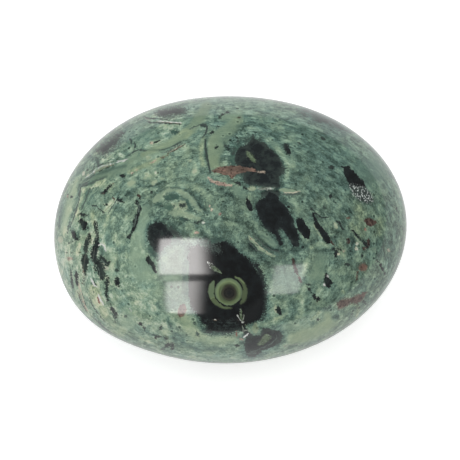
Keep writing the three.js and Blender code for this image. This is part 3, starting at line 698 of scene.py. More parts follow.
    "tan field": band(0.09, 0.6, 3, "93,287,4 96,296,5 99,305,4 104,314,3", -0.1),
    "pale below it": band(0.06, 0.2, 3, "108,318,3 114,327,4.5 120,332,4", -0.3),
    "rim greys": band(-0.03, -0.3, 2.5, "66,270,1.5 71,284,1.5", -0.2),
    "dark arcs on the rim": band(-0.07, -0.1, 1.2, "88,300,.8 93,307,1 99,315,1"),
    **several("pale in the lower left", band, (0.1, 0.1, 1.6, "134.5,302,1.8 138,301.5,2"),
        (0.09, 0.1, 1.5, "139.5,307,1.4 141,312,1.4"),
        (0.09, 0.1, 1.5, "129,294,1.6 134,294,1.6 140,290.5,1.3 144,288.5,1")),
    **several("dark in the lower left", band, (-0.08, -0.2, 3, "117,300,2.5 126,302,3 133,307,3"),
        (-0.09, -0.2, 2, "148,313,1.6 157,312.5,1.8")),
    "ring under the window": band(-0.12, -0.3, 1.6, "157,303,2 158,307,2", -0.2),
    "pale column, low": band(0.11, 0.15, 1.5, "162.5,319,1.4 164.5,325,2.4 165.5,332,1.8", -0.3),
    "dark right of that column": band(-0.1, -0.2, 1.8, "168,318,1.4 170,326,1.6 173,335,1.8 "
        "178,343,1.8 184,349,1.6"),
    "dark by the front dash": band(-0.11, -0.3, 1.6, "146,331,1.6 150,334,1.8 155,335.5,1.4"),
    "sage of the lower left": band(0.02, 0.05, 4, "126,311,6 128,322,7", -0.5),
    "front rim lines": band(-0.09, -0.1, 1.1, "125,334,.9 132,338.5,1 140,342,1 149,346,.9"),
    "front rim pales": band(0.06, 0.2, 1.3, "138,336,1 147,340.5,1.2 157,345,1.1"),
    "olive crescent": band(0.08, 0.35, 3.5, "183,318,4 188,326,6 196,335,5.5 208,339.5,5.5 "
        "221,340,5.5 233,336.5,3.5", -0.5),
    "teal under the crescent": band(-0.08, -0.25, 2, "176,334,1.8 184,343,2 196,348,2 212,349,1.8 "
        "226,348,1.6", -0.3),
    "pale outside that": band(0.08, 0.2, 1.8, "178,343,1.6 183,347.5,1.8"),
    "front rim": band(0.03, 0, 3, "200,356,2 222,358,2 240,357,1.5", -0.3),
    "pale bar by the window": band(0.11, 0.15, 1.6, "301.5,300,1.6 302,309,2 302,318,2", -0.2),
    "cream angle": band(0.11, 0.4, 1.2, "274,318.5,1 281,316.5,1.4 286.5,312.5,1.2", -0.2),
    "cream line by the orbs": band(0.09, 0.2, 1.3, "264,324,1.2 272,320.5,1.4"),
    "teal block": band(-0.08, -0.2, 2, "289,300,3 292,309,4 292,317,3", -0.1),
    "teal block, right": band(-0.09, -0.2, 2, "307,300,2.2 307,308,2.2"),
    "teal arc": band(-0.09, -0.2, 1.8, "312,303,1.6 320,309,1.8 329,307,1.8 334,298,1.6"),
    "teal under the window": band(-0.09, -0.2, 1.8, "274,299,1.4 283,297,1.6 292,293,1.6 "
        "299,290,1.2"),
    "cream streak": band(0.09, 0.4, 1.3, "319,311,1.2 315,316,1.3 311,319.5,1"),
    "olive field, low": band(0.09, 0.45, 3, "327,315,4 329,324,5 318,330,6 305,335,7 "
        "291,338,5", -0.75),
    "sage over it": band(0.04, 0.1, 2.5, "284,326,3 296,327,3 308,324,2", -0.5),
    "green spot": band(-0.14, -0.2, 1.5, "333,317,2 337,316.5,2.6", -0.2),
    "tail of the rusty patch": band(-0.02, 1.2, 1, "351,303,.9 356.5,303.5,1 358,309,1 "
        "356,316,.8"),
    "dark by the rusty patch": band(-0.12, -0.2, 1.3, "351,282,1.2 349.5,290,1.2"),
    "speckled below the hazy orb": band(0.03, 0, 3, "104,159,3 112,157,3 120,155,3", 1),
    "brown edge of the smooth band": band(0.05, 0.6, 1.2, "133,170,1.6 143,166,1.6 152,162,1.4 "
        "161,157.5,1 168,154,.8", -0.2),
    "pale of the lower left rim": band(0.13, 0.1, 3, "77,292,3 82,302,3.5 88,312,3"),
    "smooth band, left": band(-0.01, 0.15, 2.4, "80,182,1.5 95,177,3 110,173,4 122,168,4.4 "
        "132,161,4.6 142,156,3.5", -0.6),
    "smooth strip under the lines": band(0.04, 0.05, 1.6, "141,161,2.2 150,157.5,3 160,154,2.2 "
        "172,149,1.6 182,143.5,1.4", -0.5),
    "olive beside the line": band(0.05, 0.35, 1.6, "178,133,1.2 185,129.5,1.6 191,132,1.4 "
        "186,137,1.6", -0.3),
    "pale ground in the glazing bar": band(0.15, 0.05, 2.5, "166,277.5,2 171,277,2.8 "
        "176,277.5,2", -0.3),
    "pale over the window": band(0.1, 0.05, 2.5, "174,230,1.5 182,231,2.5 189,234,3"),
    "rim over the scallops": band(-0.13, -0.2, 1, "152,197,.8 158,192,.9 166,187.4,.9 "
        "175,186.6,.9 184,189,.9 191,194.5,.9 196,200.5,.9 201,207.5,.8"),
}

# The crescents round the eye. Their tone runs through the colours of EYE_TONES.
CRESCENTS = {
    "left crescent": stroke(0.3, 0.94, "213.3,280.8,1 211.2,285,2.7 210.5,291,3 211.8,296.5,2.8"),
    "left crescent, low": stroke(0.35, 0.66, "212.6,298,2.6 216.2,302.4,2.5 221,305.4,2 "
        "226,307.2,1.4 231,307.3,.6"),
    "right crescent": stroke(0.45, 0.62, "236,278,.8 240,280.3,1.4 243.2,284.5,1.9 244.6,289,2.1 "
        "244,294,2.8 242.8,299,2.6 240.5,303,1"),
    "edge of the right crescent": stroke(0.35, 0.82, "234.5,276.4,.6 239.5,278.8,.9 243,282.6,.9 "
        "245.2,288,.6"),
    "dusk at the foot of the eye orb": stroke(1.8, 0.02, "208,328,3 224,325,4.5 239,321,5.5 "
        "251,314,7 259,302,3"),
}

# The eye's iris, and how far its core lies off the middle, as parts of the iris.
EYE_MIDDLE = (228.0, 291.6)
EYE_HALVES = (13.9, 14.2)
PUPIL_SHIFT = (0.06, 0.08)

FAR = 9.0  # millimetres: what a mark measures where it isn't near
GRID = 128  # squares along each side of the cube that the mesh is drawn from
RAISE = 0.3  # how far the cube's rays are gathered towards the show face
SEED = 11


def towards(azimuth, elevation):
    """A unit vector from its azimuth and its elevation, in degrees."""
    turn, rise = math.radians(azimuth), math.radians(elevation)
    return np.array((math.cos(turn) * math.cos(rise), math.sin(turn) * math.cos(rise),
                     math.sin(rise)))


def reach(unit, sizes):
    """How far the raw stone reaches from its middle along unit vectors, in millimetres."""
    half_length, half_width, half_thickness = sizes
    along = unit[:, 0] * math.cos(TURN) + unit[:, 1] * math.sin(TURN)
    across = unit[:, 1] * math.cos(TURN) - unit[:, 0] * math.sin(TURN)
    radius = 1 / np.sqrt((along / half_length) ** 2 + (across / half_width) ** 2
                         + (unit[:, 2] / half_thickness) ** 2)
    for azimuth, elevation, share, spread in SWELLS:
        near = (unit @ towards(azimuth, elevation) - 1) / spread
        radius = radius * (1 + share * np.exp(near))
    return radius


def ground(height):
    """A height over the ground side, with what lay below that side taken off."""
    blend = (height + GRIND_BLEND) ** 2 / (4 * GRIND_BLEND)
    height = np.where(height > GRIND_BLEND, height, np.where(height < -GRIND_BLEND, 0, blend))
    return np.maximum(height, FLAT_CUT) - FLAT_CUT


def cube_grid(count):
    """The points of a cube's surface, from -1 to 1, and its squares, turned outwards."""
    steps = np.arange(count + 1)
    first, second = np.meshgrid(steps, steps, indexing="ij")
    lattice, squares = [], []
    for axis in range(3):
        for end in (0, count):
            face = np.zeros((count + 1, count + 1, 3), int)
            face[..., axis] = end
            face[..., (axis + 1) % 3] = first
            face[..., (axis + 2) % 3] = second
            numbers = np.arange(face[..., 0].size).reshape(count + 1, count + 1)
            numbers = numbers + len(lattice) * numbers.size
            ring = (numbers[:-1, :-1], numbers[1:, :-1], numbers[1:, 1:], numbers[:-1, 1:])
            ring = ring if end else ring[::-1]
            squares.append(np.stack(ring, -1).reshape(-1, 4))
            lattice.append(face.reshape(-1, 3))
    lattice = np.concatenate(lattice)
    points, renumbered = np.unique(lattice, axis=0, return_inverse=True)
    return 2 * points / count - 1, renumbered.reshape(-1)[np.concatenate(squares)]


def stone_form(sizes):
    """The stone's points on its middle, its points where it rests, and its squares."""
    cube, squares = cube_grid(GRID)
    unit = np.tan(math.pi / 4 * cube)
    unit /= np.linalg.norm(unit, axis=1)[:, None]
    unit[:, 2] += RAISE
    unit /= np.linalg.norm(unit, axis=1)[:, None]
    raw = unit * reach(unit, sizes)[:, None]
    low, high = raw.min(axis=0), raw.max(axis=0)
    placed = raw - ((low[0] + high[0]) / 2, (low[1] + high[1]) / 2, low[2] + GRIND_DEPTH)
    placed[:, 2] = ground(placed[:, 2])
    return raw, placed, squares


def picture_places(raw):
    """Where points show from the front, in picture units."""
    scale = VIEW_DISTANCE / (VIEW_DISTANCE - raw @ FACING) / UNIT
    return np.stack((STONE_IN_FRAME[0] + raw @ RIGHTWARDS * scale,
                     STONE_IN_FRAME[1] - raw @ UPWARDS * scale), axis=1)


def nearest(points, starts, ends):
    """The nearest stretch to each point: its number, how far along it, and how far away."""
    runs = ends - starts
    offsets = points[:, None] - starts[None]
    along = np.clip((offsets * runs).sum(-1) / (runs * runs).sum(-1), 0, 1)
    gaps = np.linalg.norm(offsets - along[..., None] * runs, axis=-1)
    number = gaps.argmin(axis=1)
    each = np.arange(len(points))
    return number, along[each, number], gaps[each, number]


def outline_distance(points, mark, scale):
    """How far points are outside a patch, and less than 0 inside it."""
    corners = mark["places"] * scale
    following = np.roll(corners, -1, axis=0)
    gap = nearest(points, corners, following)[2]
    x, y = points[:, :1], points[:, 1:]
    rise = np.where(following[:, 1] == corners[:, 1], 1e-9, following[:, 1] - corners[:, 1])
    crossing = corners[:, 0] + (y - corners[:, 1]) * (following[:, 0] - corners[:, 0]) / rise
    crossed = ((corners[:, 1] > y) != (following[:, 1] > y)) & (x < crossing)
    return np.where(crossed.sum(axis=1) % 2 == 1, -gap, gap)


def oval_distance(points, mark, scale):
    middle, halves = mark["places"] * scale
    slope = math.radians(mark["slope"])
    offset = points - middle
    along = offset @ (math.cos(slope), math.sin(slope))
    across = offset @ (-math.sin(slope), math.cos(slope))
    share = np.maximum(np.hypot(along / halves[0], across / halves[1]), 1e-6)
    return np.hypot(along, across) * (1 - 1 / share)


def stroke_sides(points, mark, scale):
    """The signed distance to a stroke's line and how much of its half width is left there."""
    chain = mark["places"] * scale
    starts, ends = chain[:-1], chain[1:]
    number, along, gap = nearest(points, starts[:, :2], ends[:, :2])
    runs = (ends - starts)[number, :2]
    runs /= np.linalg.norm(runs, axis=1)[:, None]
    offset = points - starts[number, :2]
    side = runs[:, 0] * offset[:, 1] - runs[:, 1] * offset[:, 0]
    overshoot = np.sqrt(np.maximum(gap ** 2 - side ** 2, 0))
    half = starts[number, 2] + along * (ends - starts)[number, 2]
    return side, half - overshoot, gap - half


def stroke_distance(points, mark, scale):
    return stroke_sides(points, mark, scale)[2]


DISTANCES = {"outline": outline_distance, "oval": oval_distance, "stroke": stroke_distance}


class Layer:
    """What the nearest mark of a set measures at each vertex: distance, softness and tone."""

    def __init__(self, count):
        self.values = np.tile((FAR, 0.3, 0.0), (count, 1))

    def lay(self, mark, points, chosen, away, scale):
        where = near_mark(mark, points, scale, margin=2.5)
        distance = DISTANCES[mark["kind"]](points[where], mark, scale) + away[where]
        vertex = chosen[where]
        closer = distance < self.values[vertex, 0]
        self.values[vertex[closer], 0] = distance[closer]
        self.values[vertex[closer], 1:] = mark["soft"], mark["tone"]


class Threads(Layer):
    """What the nearest thread measures: the signed distance to its line, its half width, tone."""

    def __init__(self, count):
        self.values = np.tile((FAR, -1.0, 0.0), (count, 1))
        self.gaps = np.full(count, FAR)

    def lay(self, mark, points, chosen, away, scale):
        where = near_mark(mark, points, scale, margin=1.2)
        side, half, gap = stroke_sides(points[where], mark, scale)
        half = half - away[where] - 1.5 * np.maximum(np.abs(side) - half - 0.12, 0)
        vertex = chosen[where]
        closer = gap < self.gaps[vertex]
        self.gaps[vertex[closer]] = gap[closer]
        self.values[vertex[closer], 0] = side[closer]
        self.values[vertex[closer], 1] = half[closer]
        self.values[vertex[closer], 2] = mark["tone"]


def near_mark(mark, points, scale, margin):
    """Which points are within a margin of the box round a mark."""
    places = mark["places"][:, :2] * scale
    if mark["kind"] == "oval":
        margin = margin + places[1].max()
        places = places[:1]
    low, high = places.min(axis=0) - margin, places.max(axis=0) + margin
    return np.flatnonzero(((points > low) & (points < high)).all(axis=1))


def fade(value, start, stop):
    """0 before start and 1 after stop, with a smooth change between them."""
    share = np.clip((value - start) / (stop - start), 0, 1)
    return share * share * (3 - 2 * share)


# The orbs of the hidden sides: radius in millimetres, how drawn out, tone and softness.
HIDDEN_ORBS = (
    (5.6, 1.15, 0.0, 0.6), (4.4, 1.3, 0.3, 1.0), (3.9, 1.1, 0.1, 0.7), (3.4, 1.35, 0.2, 0.8),
    (3.2, 1.2, 0.45, 1.4), (2.8, 1.4, 0.15, 0.7), (2.5, 1.2, 0.3, 1.0), (2.3, 1.5, 0.2, 0.6),
    (2.1, 1.2, 0.5, 1.4),
)
HIDDEN_BANDS, HIDDEN_BLOTS, HIDDEN_FLECKS, HIDDEN_PALES = 110, 95, 26, 30  # how many of each
HIDDEN_REACH = 11.0  # millimetres from its middle that a hidden mark may reach
RETREAT = 3.0  # millimetres that a mark draws in where the stone turns away from its side


def hidden_marks(rng, raw):
    """Marks of the same kinds for the hidden sides, as (set, mark, vertex)."""
    hidden = np.flatnonzero(raw @ FACING < 2)
    taken = []

    def free_place(gap):
        """A hidden vertex that keeps a gap, in millimetres, from the marks already placed."""
        for _ in range(200):
            vertex = rng.choice(hidden)
            if all(np.linalg.norm(raw[vertex] - raw[other]) > gap + room
                   for other, room in taken):
                break
        taken.append((vertex, gap))
        return vertex

    def lobed(radius, stretch, lobes):
        """The corners of a patch with a wavy edge."""
        turns = np.linspace(0, 2 * math.pi, 18, endpoint=False)
        wave = sum(rng.uniform(-1, 1) * np.sin(k * turns + rng.uniform(0, 7)) / k
                   for k in range(2, 6))
        ring = radius * (1 + lobes * wave)
        spin = rng.uniform(0, math.pi)
        x, y = ring * stretch * np.cos(turns), ring / stretch * np.sin(turns)
        return np.column_stack((x * math.cos(spin) - y * math.sin(spin),
                                x * math.sin(spin) + y * math.cos(spin)))

    def winding(low, high, stride):
        """A chain that wanders about, widest in its middle."""
        heading = rng.uniform(0, 2 * math.pi)
        chain, x, y = [], 0.0, 0.0
        steps = rng.integers(3, 7)
        for step in range(steps):
            taper = math.sin(math.pi * (step + 0.5) / steps)
            chain.append((x, y, rng.uniform(low, high) * taper))
            heading += rng.uniform(-0.5, 0.5)
            x += stride * rng.uniform(0.7, 1.3) * math.cos(heading)
            y += stride * rng.uniform(0.7, 1.3) * math.sin(heading)
        return chain

    marks = []
    for radius, stretch, tone, soft in HIDDEN_ORBS:
        vertex = free_place(radius * 1.25)
        marks.append(("orb", outline(soft, tone, lobed(radius, stretch, 0.4)), vertex))
        if tone < 0.2:
            iris = radius / 4
            turns = np.linspace(rng.uniform(0, 3), 5.6, 12)
            ring = [(iris * math.cos(turn), iris * math.sin(turn), 0.12 * iris) for turn in turns]
            marks.append(("crescent", stroke(0.15, 0.9, ring), vertex))
            marks.append(("crescent", oval(0.3, 0.75, 0, 0, iris * 0.6, iris * 0.5), vertex))
    for _ in range(HIDDEN_BANDS):
        change = rng.choice((-1, 1)) * rng.uniform(0.1, 0.2)
        mark = band(change, 1.5 * change, 0.35, winding(0.2, 0.8, 2.0))
        marks.append(("band", mark, free_place(-3.0)))
    for _ in range(HIDDEN_BLOTS):
        length = rng.uniform(0.25, 1.2)
        mark = oval(rng.uniform(0.2, 0.4), rng.uniform(0.1, 0.6), 0, 0, length,
                    length * rng.uniform(0.35, 0.7), rng.uniform(0, 180))
        marks.append(("ink", mark, free_place(0.2)))
    for kind, count, low, high in (("ink", 55, 0.14, 0.42), ("thread", 50, 0.09, 0.16)):
        for _ in range(count):
            tone = rng.choice((0.03, 0.08, 0.1, 0.62, 1.0)) if kind == "thread" else 0.3
            mark = stroke(0.3, float(tone), winding(low, high, 0.9))
            marks.append((kind, mark, free_place(0.2)))
    for _ in range(HIDDEN_FLECKS):
        mark = outline(0.25, float(rng.choice((0.15, 0.22, 0.25, 0.33, 0.5, 0.62, 0.74))),
                       lobed(rng.uniform(0.3, 1.2), rng.uniform(1, 1.8), 0.35))
        marks.append(("fleck", mark, free_place(0.2)))
    for _ in range(HIDDEN_PALES):
        mark = outline(0.35, rng.uniform(0.3, 0.8),
                       lobed(rng.uniform(0.3, 0.9), rng.uniform(1.2, 2.0), 0.3))
        marks.append(("pale", mark, free_place(0.0)))
    return marks


def tangent_frame(normal):
    """Two directions along the surface, square to each other."""
    first = np.cross(normal, (0.31, 0.17, 0.93))
    first /= np.linalg.norm(first)
    return first, np.cross(normal, first)


def measure_marks(raw, normals):
    """Everything that the material reads at each vertex, by name, three numbers each."""
    count = len(raw)
    places = picture_places(raw) * UNIT
    sight = FACING * VIEW_DISTANCE - raw
    sight /= np.linalg.norm(sight, axis=1)[:, None]
    facing_share = fade((normals * sight).sum(axis=1), 0.02, 0.15)
    shown = np.flatnonzero(facing_share > 0)
    away = (1 - facing_share[shown]) * RETREAT

    layers = {name: Layer(count) for name in ("ink", "pale", "fleck", "orb", "crescent")}
    layers |= {name: Threads(count) for name in ("thread_a", "thread_b")}
    tables = {"ink": INK, "pale": PALE, "fleck": FLECKS, "crescent": CRESCENTS,
              "thread_a": THREADS_A, "thread_b": THREADS_B}
    for name, table in tables.items():
        for mark in table.values():
            layers[name].lay(mark, places[shown], shown, away, UNIT)
    for name in HALOED:
        layers["orb"].lay(INK[name], places[shown], shown, away, UNIT)

    zone, streaky = ground_fields(raw, places / UNIT, facing_share)
    rng = np.random.default_rng(SEED)
    thread_turn = 0
    for kind, mark, vertex in hidden_marks(rng, raw):
        first, second = tangent_frame(normals[vertex])
        offset = raw - raw[vertex]
        close = np.linalg.norm(offset, axis=1) < HIDDEN_REACH
        close &= normals @ normals[vertex] > 0.2
        chosen = np.flatnonzero(close)
        points = np.stack((offset[chosen] @ first, offset[chosen] @ second), axis=1)
        if kind == "band":
            share = fade(-stroke_distance(points, mark, 1.0), -mark["soft"], mark["soft"])
            zone[chosen] += np.outer(share * (1 - facing_share[chosen]), mark["changes"])
            continue
        turned_away = facing_share[chosen] * RETREAT
        if kind == "thread":
            kind = ("thread_a", "thread_b")[thread_turn % 2]
            thread_turn += 1
        for name in ("ink", "orb") if kind == "orb" else (kind,):
            layers[name].lay(mark, points, chosen, turned_away, 1.0)

    measures = {name: layer.values for name, layer in layers.items()}
    measures["zone"], measures["orb"][:, 1] = zone, streaky
    measures["orb"][:, 2] = pitted_patch(places / UNIT, facing_share)
    measures["eye"] = eye_rings(places / UNIT, facing_share)
    measures["flow"] = flow_lines(places / UNIT)
    return measures


BAND_CONTRAST = 1.4
CALM = 0.78  # how mottled the ground is between its marks


def ground_fields(raw, picture, facing_share):
    """The ground's lightness, olive tint and mottling, and how streaky it is."""
    sums = np.zeros((4, len(raw)))
    for place, size, slope, changes in FIELDS.values():
        turn = math.radians(slope)
        offset = picture - place
        along = offset @ (math.cos(turn), math.sin(turn)) / size[0]
        across = offset @ (-math.sin(turn), math.cos(turn)) / size[1]
        share = facing_share * np.exp(-(along ** 2 + across ** 2) ** 1.3)
        sums += np.outer(changes, share)
    lift, olive, mottle, streak = sums
    near = np.flatnonzero(facing_share > 0)
    for mark in BANDS.values():
        where = near[near_mark(mark, picture[near], 1.0, margin=3 * mark["soft"] + 6)]
        share = fade(-stroke_distance(picture[where], mark, 1.0), -mark["soft"], mark["soft"])
        share *= facing_share[where]
        sums[:3, where] += np.outer(mark["changes"], share) * ((BAND_CONTRAST,), (1,), (1,))
    hidden = 1 - facing_share
    rng = np.random.default_rng(SEED + 1)

    def waves():
        """Broad swells of about -1 to 1 over the stone."""
        height = np.zeros(len(raw))
        for _ in range(7):
            heading = rng.normal(size=3)
            heading /= np.linalg.norm(heading)
            height += np.sin(raw @ heading * rng.uniform(0.12, 0.35) + rng.uniform(0, 7)) / 2.6
        return height

    lift += hidden * (0.02 + 0.1 * waves())
    olive += hidden * 0.35 * waves()
    mottle += hidden * (0.1 - 0.8 * fade(waves(), 0.3, 1.2))
    mottle = np.maximum(mottle, 0.12 - CALM)
    streak += hidden * 0.3
    zone = np.stack((0.59 + lift, 0.5 + olive, CALM + mottle), axis=1)
    return zone, np.clip(0.35 + streak, 0, 1)


PITTED = "349,184.5 357,186 364,188 369,192 372,200 367,202.5 360,199.5 353,194"


def pitted_patch(picture, facing_share):
    """Where the stone is open and pitted, 0 to 1."""
    distance = outline_distance(picture, outline(0.3, 0, PITTED), 1.0)
    return facing_share * fade(-distance, -3, 1)


def eye_rings(picture, facing_share):
    """How far out in the eye, 1 at its iris's edge, and where in it."""
    offset = (picture - EYE_MIDDLE) / EYE_HALVES
    radius = np.hypot(*offset.T)
    inwards = np.clip(1 - radius, 0, 1)[:, None]
    radius = np.hypot(*(offset - inwards * PUPIL_SHIFT).T) + (1 - facing_share) * FAR
    return np.column_stack((radius, np.clip(offset, -2, 2)))


FLOW_MIDDLE = (228, 255)  # the flow lines ring this place, in picture units


def flow_lines(picture):
    """Rings of flow: how far out, and the direction as a vector, so that it has no seam."""
    offset = (picture - FLOW_MIDDLE) * (1.0, 1.28)
    radius = np.hypot(*offset.T)
    direction = offset / np.maximum(radius, 1)[:, None]
    return np.column_stack((radius * UNIT, direction))


def linear(colour):
    """A '#rrggbb' sRGB colour as linear light, with alpha 1."""
    parts = (int(colour[start:start + 2], 16) / 255 for start in (1, 3, 5))
    light = tuple(p / 12.92 if p <= 0.04045 else ((p + 0.055) / 1.055) ** 2.4 for p in parts)
    return (*light, 1.0)


def add(tree, kind, inputs=(), **settings):
    """Adds a node with its settings, and a value or a link at each of its inputs, which are given
    in their order, or by number or name."""
    made = tree.nodes.new("ShaderNode" + kind)
    for name, value in settings.items():
        setattr(made, name, value)
    for socket, value in inputs.items() if isinstance(inputs, dict) else enumerate(inputs):
        if isinstance(value, bpy.types.Node):
            value = next(output for output in value.outputs if output.enabled)
        if isinstance(value, bpy.types.NodeSocket):
            tree.links.new(value, made.inputs[socket])
        else:
            made.inputs[socket].default_value = value
    return made


def adder(tree):
    """Clears a tree of nodes and returns what adds nodes to it."""
    tree.nodes.clear()
    return partial(add, tree)


SMOOTH = {"interpolation_type": "SMOOTHSTEP"}  # a MapRange with this eases in and out


def fill_ramp(ramp, stops):
    """Gives a colour ramp its (position, colour) stops."""
    elements = ramp.color_ramp.elements
    while len(elements) < len(stops):
        elements.new(0.5)
    for element, (position, colour) in zip(elements, stops):
        element.position = position
        element.color = linear(colour)
    return ramp


# The ground from its darkest grains to its palest, by lightness.
GROUND_TONES = (
    (0.06, "#0f1412"), (0.14, "#1b221f"), (0.24, "#28342e"), (0.31, "#34433a"),
    (0.385, "#425448"), (0.46, "#516659"), (0.535, "#5f7668"), (0.61, "#6d8675"),
    (0.685, "#7c9582"), (0.76, "#8ba490"), (0.835, "#9bb39d"), (0.91, "#abbea9"),
    (1.0, "#c1cebe"),
)
INK_TONES = (
    (0.0, "#0a0d0e"), (0.3, "#1b2223"), (0.6, "#39443f"), (0.8, "#3f5a50"), (1.0, "#56705f"),
)
PALE_TONES = (
    (0.0, "#7f947d"), (0.35, "#93a488"), (0.55, "#a5b197"), (0.75, "#b4b6a0"),
    (1.0, "#cfd4cb"),
)
VEIN_TONES = (
    (0.0, "#14191a"), (0.05, "#37423f"), (0.10, "#5a6961"), (0.14, "#3a2b28"),
    (0.25, "#6b5b50"), (0.38, "#8c6355"), (0.50, "#a38d80"), (0.62, "#b9b6a0"),
    (0.74, "#8c9c82"), (0.86, "#55674d"), (1.0, "#d6d8d3"),
)
EYE_TONES = (
    (0.0, "#1b1e1f"), (0.36, "#23231f"), (0.51, "#35362b"), (0.61, "#4d5941"),
    (0.70, "#5d6c4c"), (0.80, "#6e7f59"), (0.90, "#66785a"), (1.0, "#55654e"),
)
PIT_TONES = ((0.22, "#c4cbc6"), (0.44, "#3c4744"), (0.7, "#161b1c"))
BLUER, TANNER = (0.88, 0.99, 1.08, 1.0), (1.12, 1.01, 0.86, 1.0)  # what tints multiply it by
WHITE = (1.0, 1.0, 1.0, 1.0)


# How large the parts of the patterns are, in millimetres.
DRIFT = 2.0  # the slow drift of the felt
ISLAND = 1.389  # islands of paler and darker grains
FINE_GRAIN = 0.2381  # the finest grains, twice as coarse as real ones so that they show
FLOW_BAND, LONG_GRAIN = 0.8696, 0.5263  # across the flow: its bands, and grains drawn out by it
SPECK_CELL = 1.25  # a square with room for a speck
TINT_PATCH = 2.778  # olive and blue-green patches
WANDER = 0.7692  # the wandering of a mark's edge
CLOUD = 1.4286  # clouds in the black orbs
CRUMB, PIT = 0.5263, 0.3448  # crumbs of the rusty flecks, and pits of the open patch
RELIEF = 0.004  # how far the soft grains lie below the hard ones


def kambaba_jasper(polish):
    """Kambaba jasper, a green rhyolite with black orbs, cut, ground and tumbled to a wet-looking
    polish. Its ground is a felt of pale and dark green grains 0.3 to 1 mm across, with flow
    lines."""
    material = bpy.data.materials.new("Polished kambaba jasper")
    material.use_nodes = True
    new = adder(material.node_tree)

    def measured(name):
        """The three numbers of one of the stone's measures."""
        vector = new("Attribute", attribute_name=name).outputs["Vector"]
        return new("SeparateXYZ", (vector,)).outputs

    object_place = new("TexCoord").outputs["Object"]
    place = new("VectorMath", (object_place, (1 / MM, 1 / MM, 1 / MM)), operation="MULTIPLY")
    bedding = new("VectorMath", (place, tuple(FACING)), operation="DOT_PRODUCT").outputs["Value"]

    # Grains lie in a slightly drifting felt.
    drift = new("TexNoise", {"Vector": place, "Scale": 1 / DRIFT, "Detail": 2.0})
    felt = new("VectorMath", (drift.outputs["Color"], (1.5, 1.5, 1.5), place),
               operation="MULTIPLY_ADD")
    islands = new("TexNoise", {"Vector": felt, "Scale": 1 / ISLAND, "Detail": 3.0,
                               "Roughness": 0.55})
    dots = new("TexVoronoi", {"Vector": place, "Scale": 1 / SPECK_CELL})
    fine = new("TexNoise", {"Vector": place, "Scale": 1 / FINE_GRAIN, "Detail": 1.0,
                            "Roughness": 0.6})

    # Flow lines: stretched along the rings of the flow, 0.2 to 1 mm apart. The grains are drawn
    # out along them too, more so towards the rim.
    rings, flow_x, flow_y = measured("flow")

    def flowing(across, along, roughness):
        """Noise with so many waves to a millimetre across the flow, and so many along a ring."""
        turns = ((rings, across), (flow_x, along), (flow_y, along), (bedding, across * 0.6))
        scaled = [new("Math", turn, operation="MULTIPLY") for turn in turns]
        flow_place = new("CombineXYZ", scaled[:3])
        return new("TexNoise", {"Vector": flow_place, "W": scaled[3], "Scale": 1.0, "Detail": 3.0,
                                "Roughness": roughness, "Distortion": 0.25}, noise_dimensions="4D")

    def seam(noise, width, depth, rise):
        """A thin dark line wherever a noise crosses its middle."""
        gap = new("Math", (noise, 0.48), operation="SUBTRACT")
        gap = new("Math", (gap,), operation="ABSOLUTE")
        return new("MapRange", (gap, 0.0, width, depth, rise), **SMOOTH)

    flow = flowing(1 / FLOW_BAND, 5.5, 0.72)
    grain = flowing(1 / LONG_GRAIN, 20.0, 0.62)

    # Edges of marks wander by a tenth of a millimetre or two.
    wander = new("TexNoise", {"Vector": place, "Scale": 1 / WANDER, "Detail": 3.0,
                              "Roughness": 0.6})

    def inside(distance, soft, sway=0.9, frayed=1.6):
        """1 inside a mark and 0 outside it, with an edge that wanders by sway and frays."""
        swayed = new("Math", (wander, sway, distance), operation="MULTIPLY_ADD")
        fray = new("Math", (fine, 0.5), operation="SUBTRACT")
        fray = new("Math", (fray, frayed), operation="MULTIPLY")
        edge = new("Math", (swayed, sway / 2), operation="SUBTRACT")
        edge = new("Math", (edge, soft), operation="DIVIDE")
        edge = new("Math", (edge, fray), operation="ADD")
        return new("MapRange", (edge, 0.4, -0.4), **SMOOTH)

    def threaded(name):
        """1 on a thread, and the thread's tone."""
        side, half, tone = measured(name)
        bent = new("Math", (wander, 0.6, side), operation="MULTIPLY_ADD")
        bent = new("Math", (bent, 0.3), operation="SUBTRACT")
        gap = new("Math", (bent,), operation="ABSOLUTE")
        distance = new("Math", (gap, half), operation="SUBTRACT")
        shown = inside(distance, 0.16, sway=0.25, frayed=2.0)
        colour = fill_ramp(new("ValToRGB", (tone,)), VEIN_TONES)
        return shown, colour

    lightness, olive, mottle = measured("zone")
    halo, streaky, pitted = measured("orb")

    # The ground's lightness: its field, plus islands with darker edges, grains and flow lines.
    grains = new("Math", (grain, 0.5), operation="SUBTRACT")
    island_part = new("MapRange", (islands, 0.43, 0.57, -0.085, 0.085), **SMOOTH)
    shore = seam(islands, 0.024, -0.08, 0.01)
    fine_part = new("MapRange", (fine, 0.25, 0.75, -0.09, 0.09))
    felt_sum = new("Math", (grains, 0.65, island_part), operation="MULTIPLY_ADD")
    felt_sum = new("Math", (felt_sum, shore), operation="ADD")
    felt_sum = new("Math", (felt_sum, seam(grain, 0.045, -0.12, 0.03)), operation="ADD")
    flow_part = new("MapRange", (flow, 0.3, 0.7, -0.12, 0.12))
    flow_part = new("Math", (flow_part, seam(flow, 0.03, -0.13, 0.03)), operation="ADD")
    flow_part = new("Math", (flow_part, streaky), operation="MULTIPLY")
    calm_share = new("MapRange", (mottle, 0.1, 0.8, 0.3, 1.0))
    flow_part = new("Math", (flow_part, calm_share), operation="MULTIPLY")
    value = new("Math", (felt_sum, mottle, lightness), operation="MULTIPLY_ADD")
    value = new("Math", (value, flow_part), operation="ADD")
    value = new("Math", (fine_part, calm_share, value), operation="MULTIPLY_ADD")

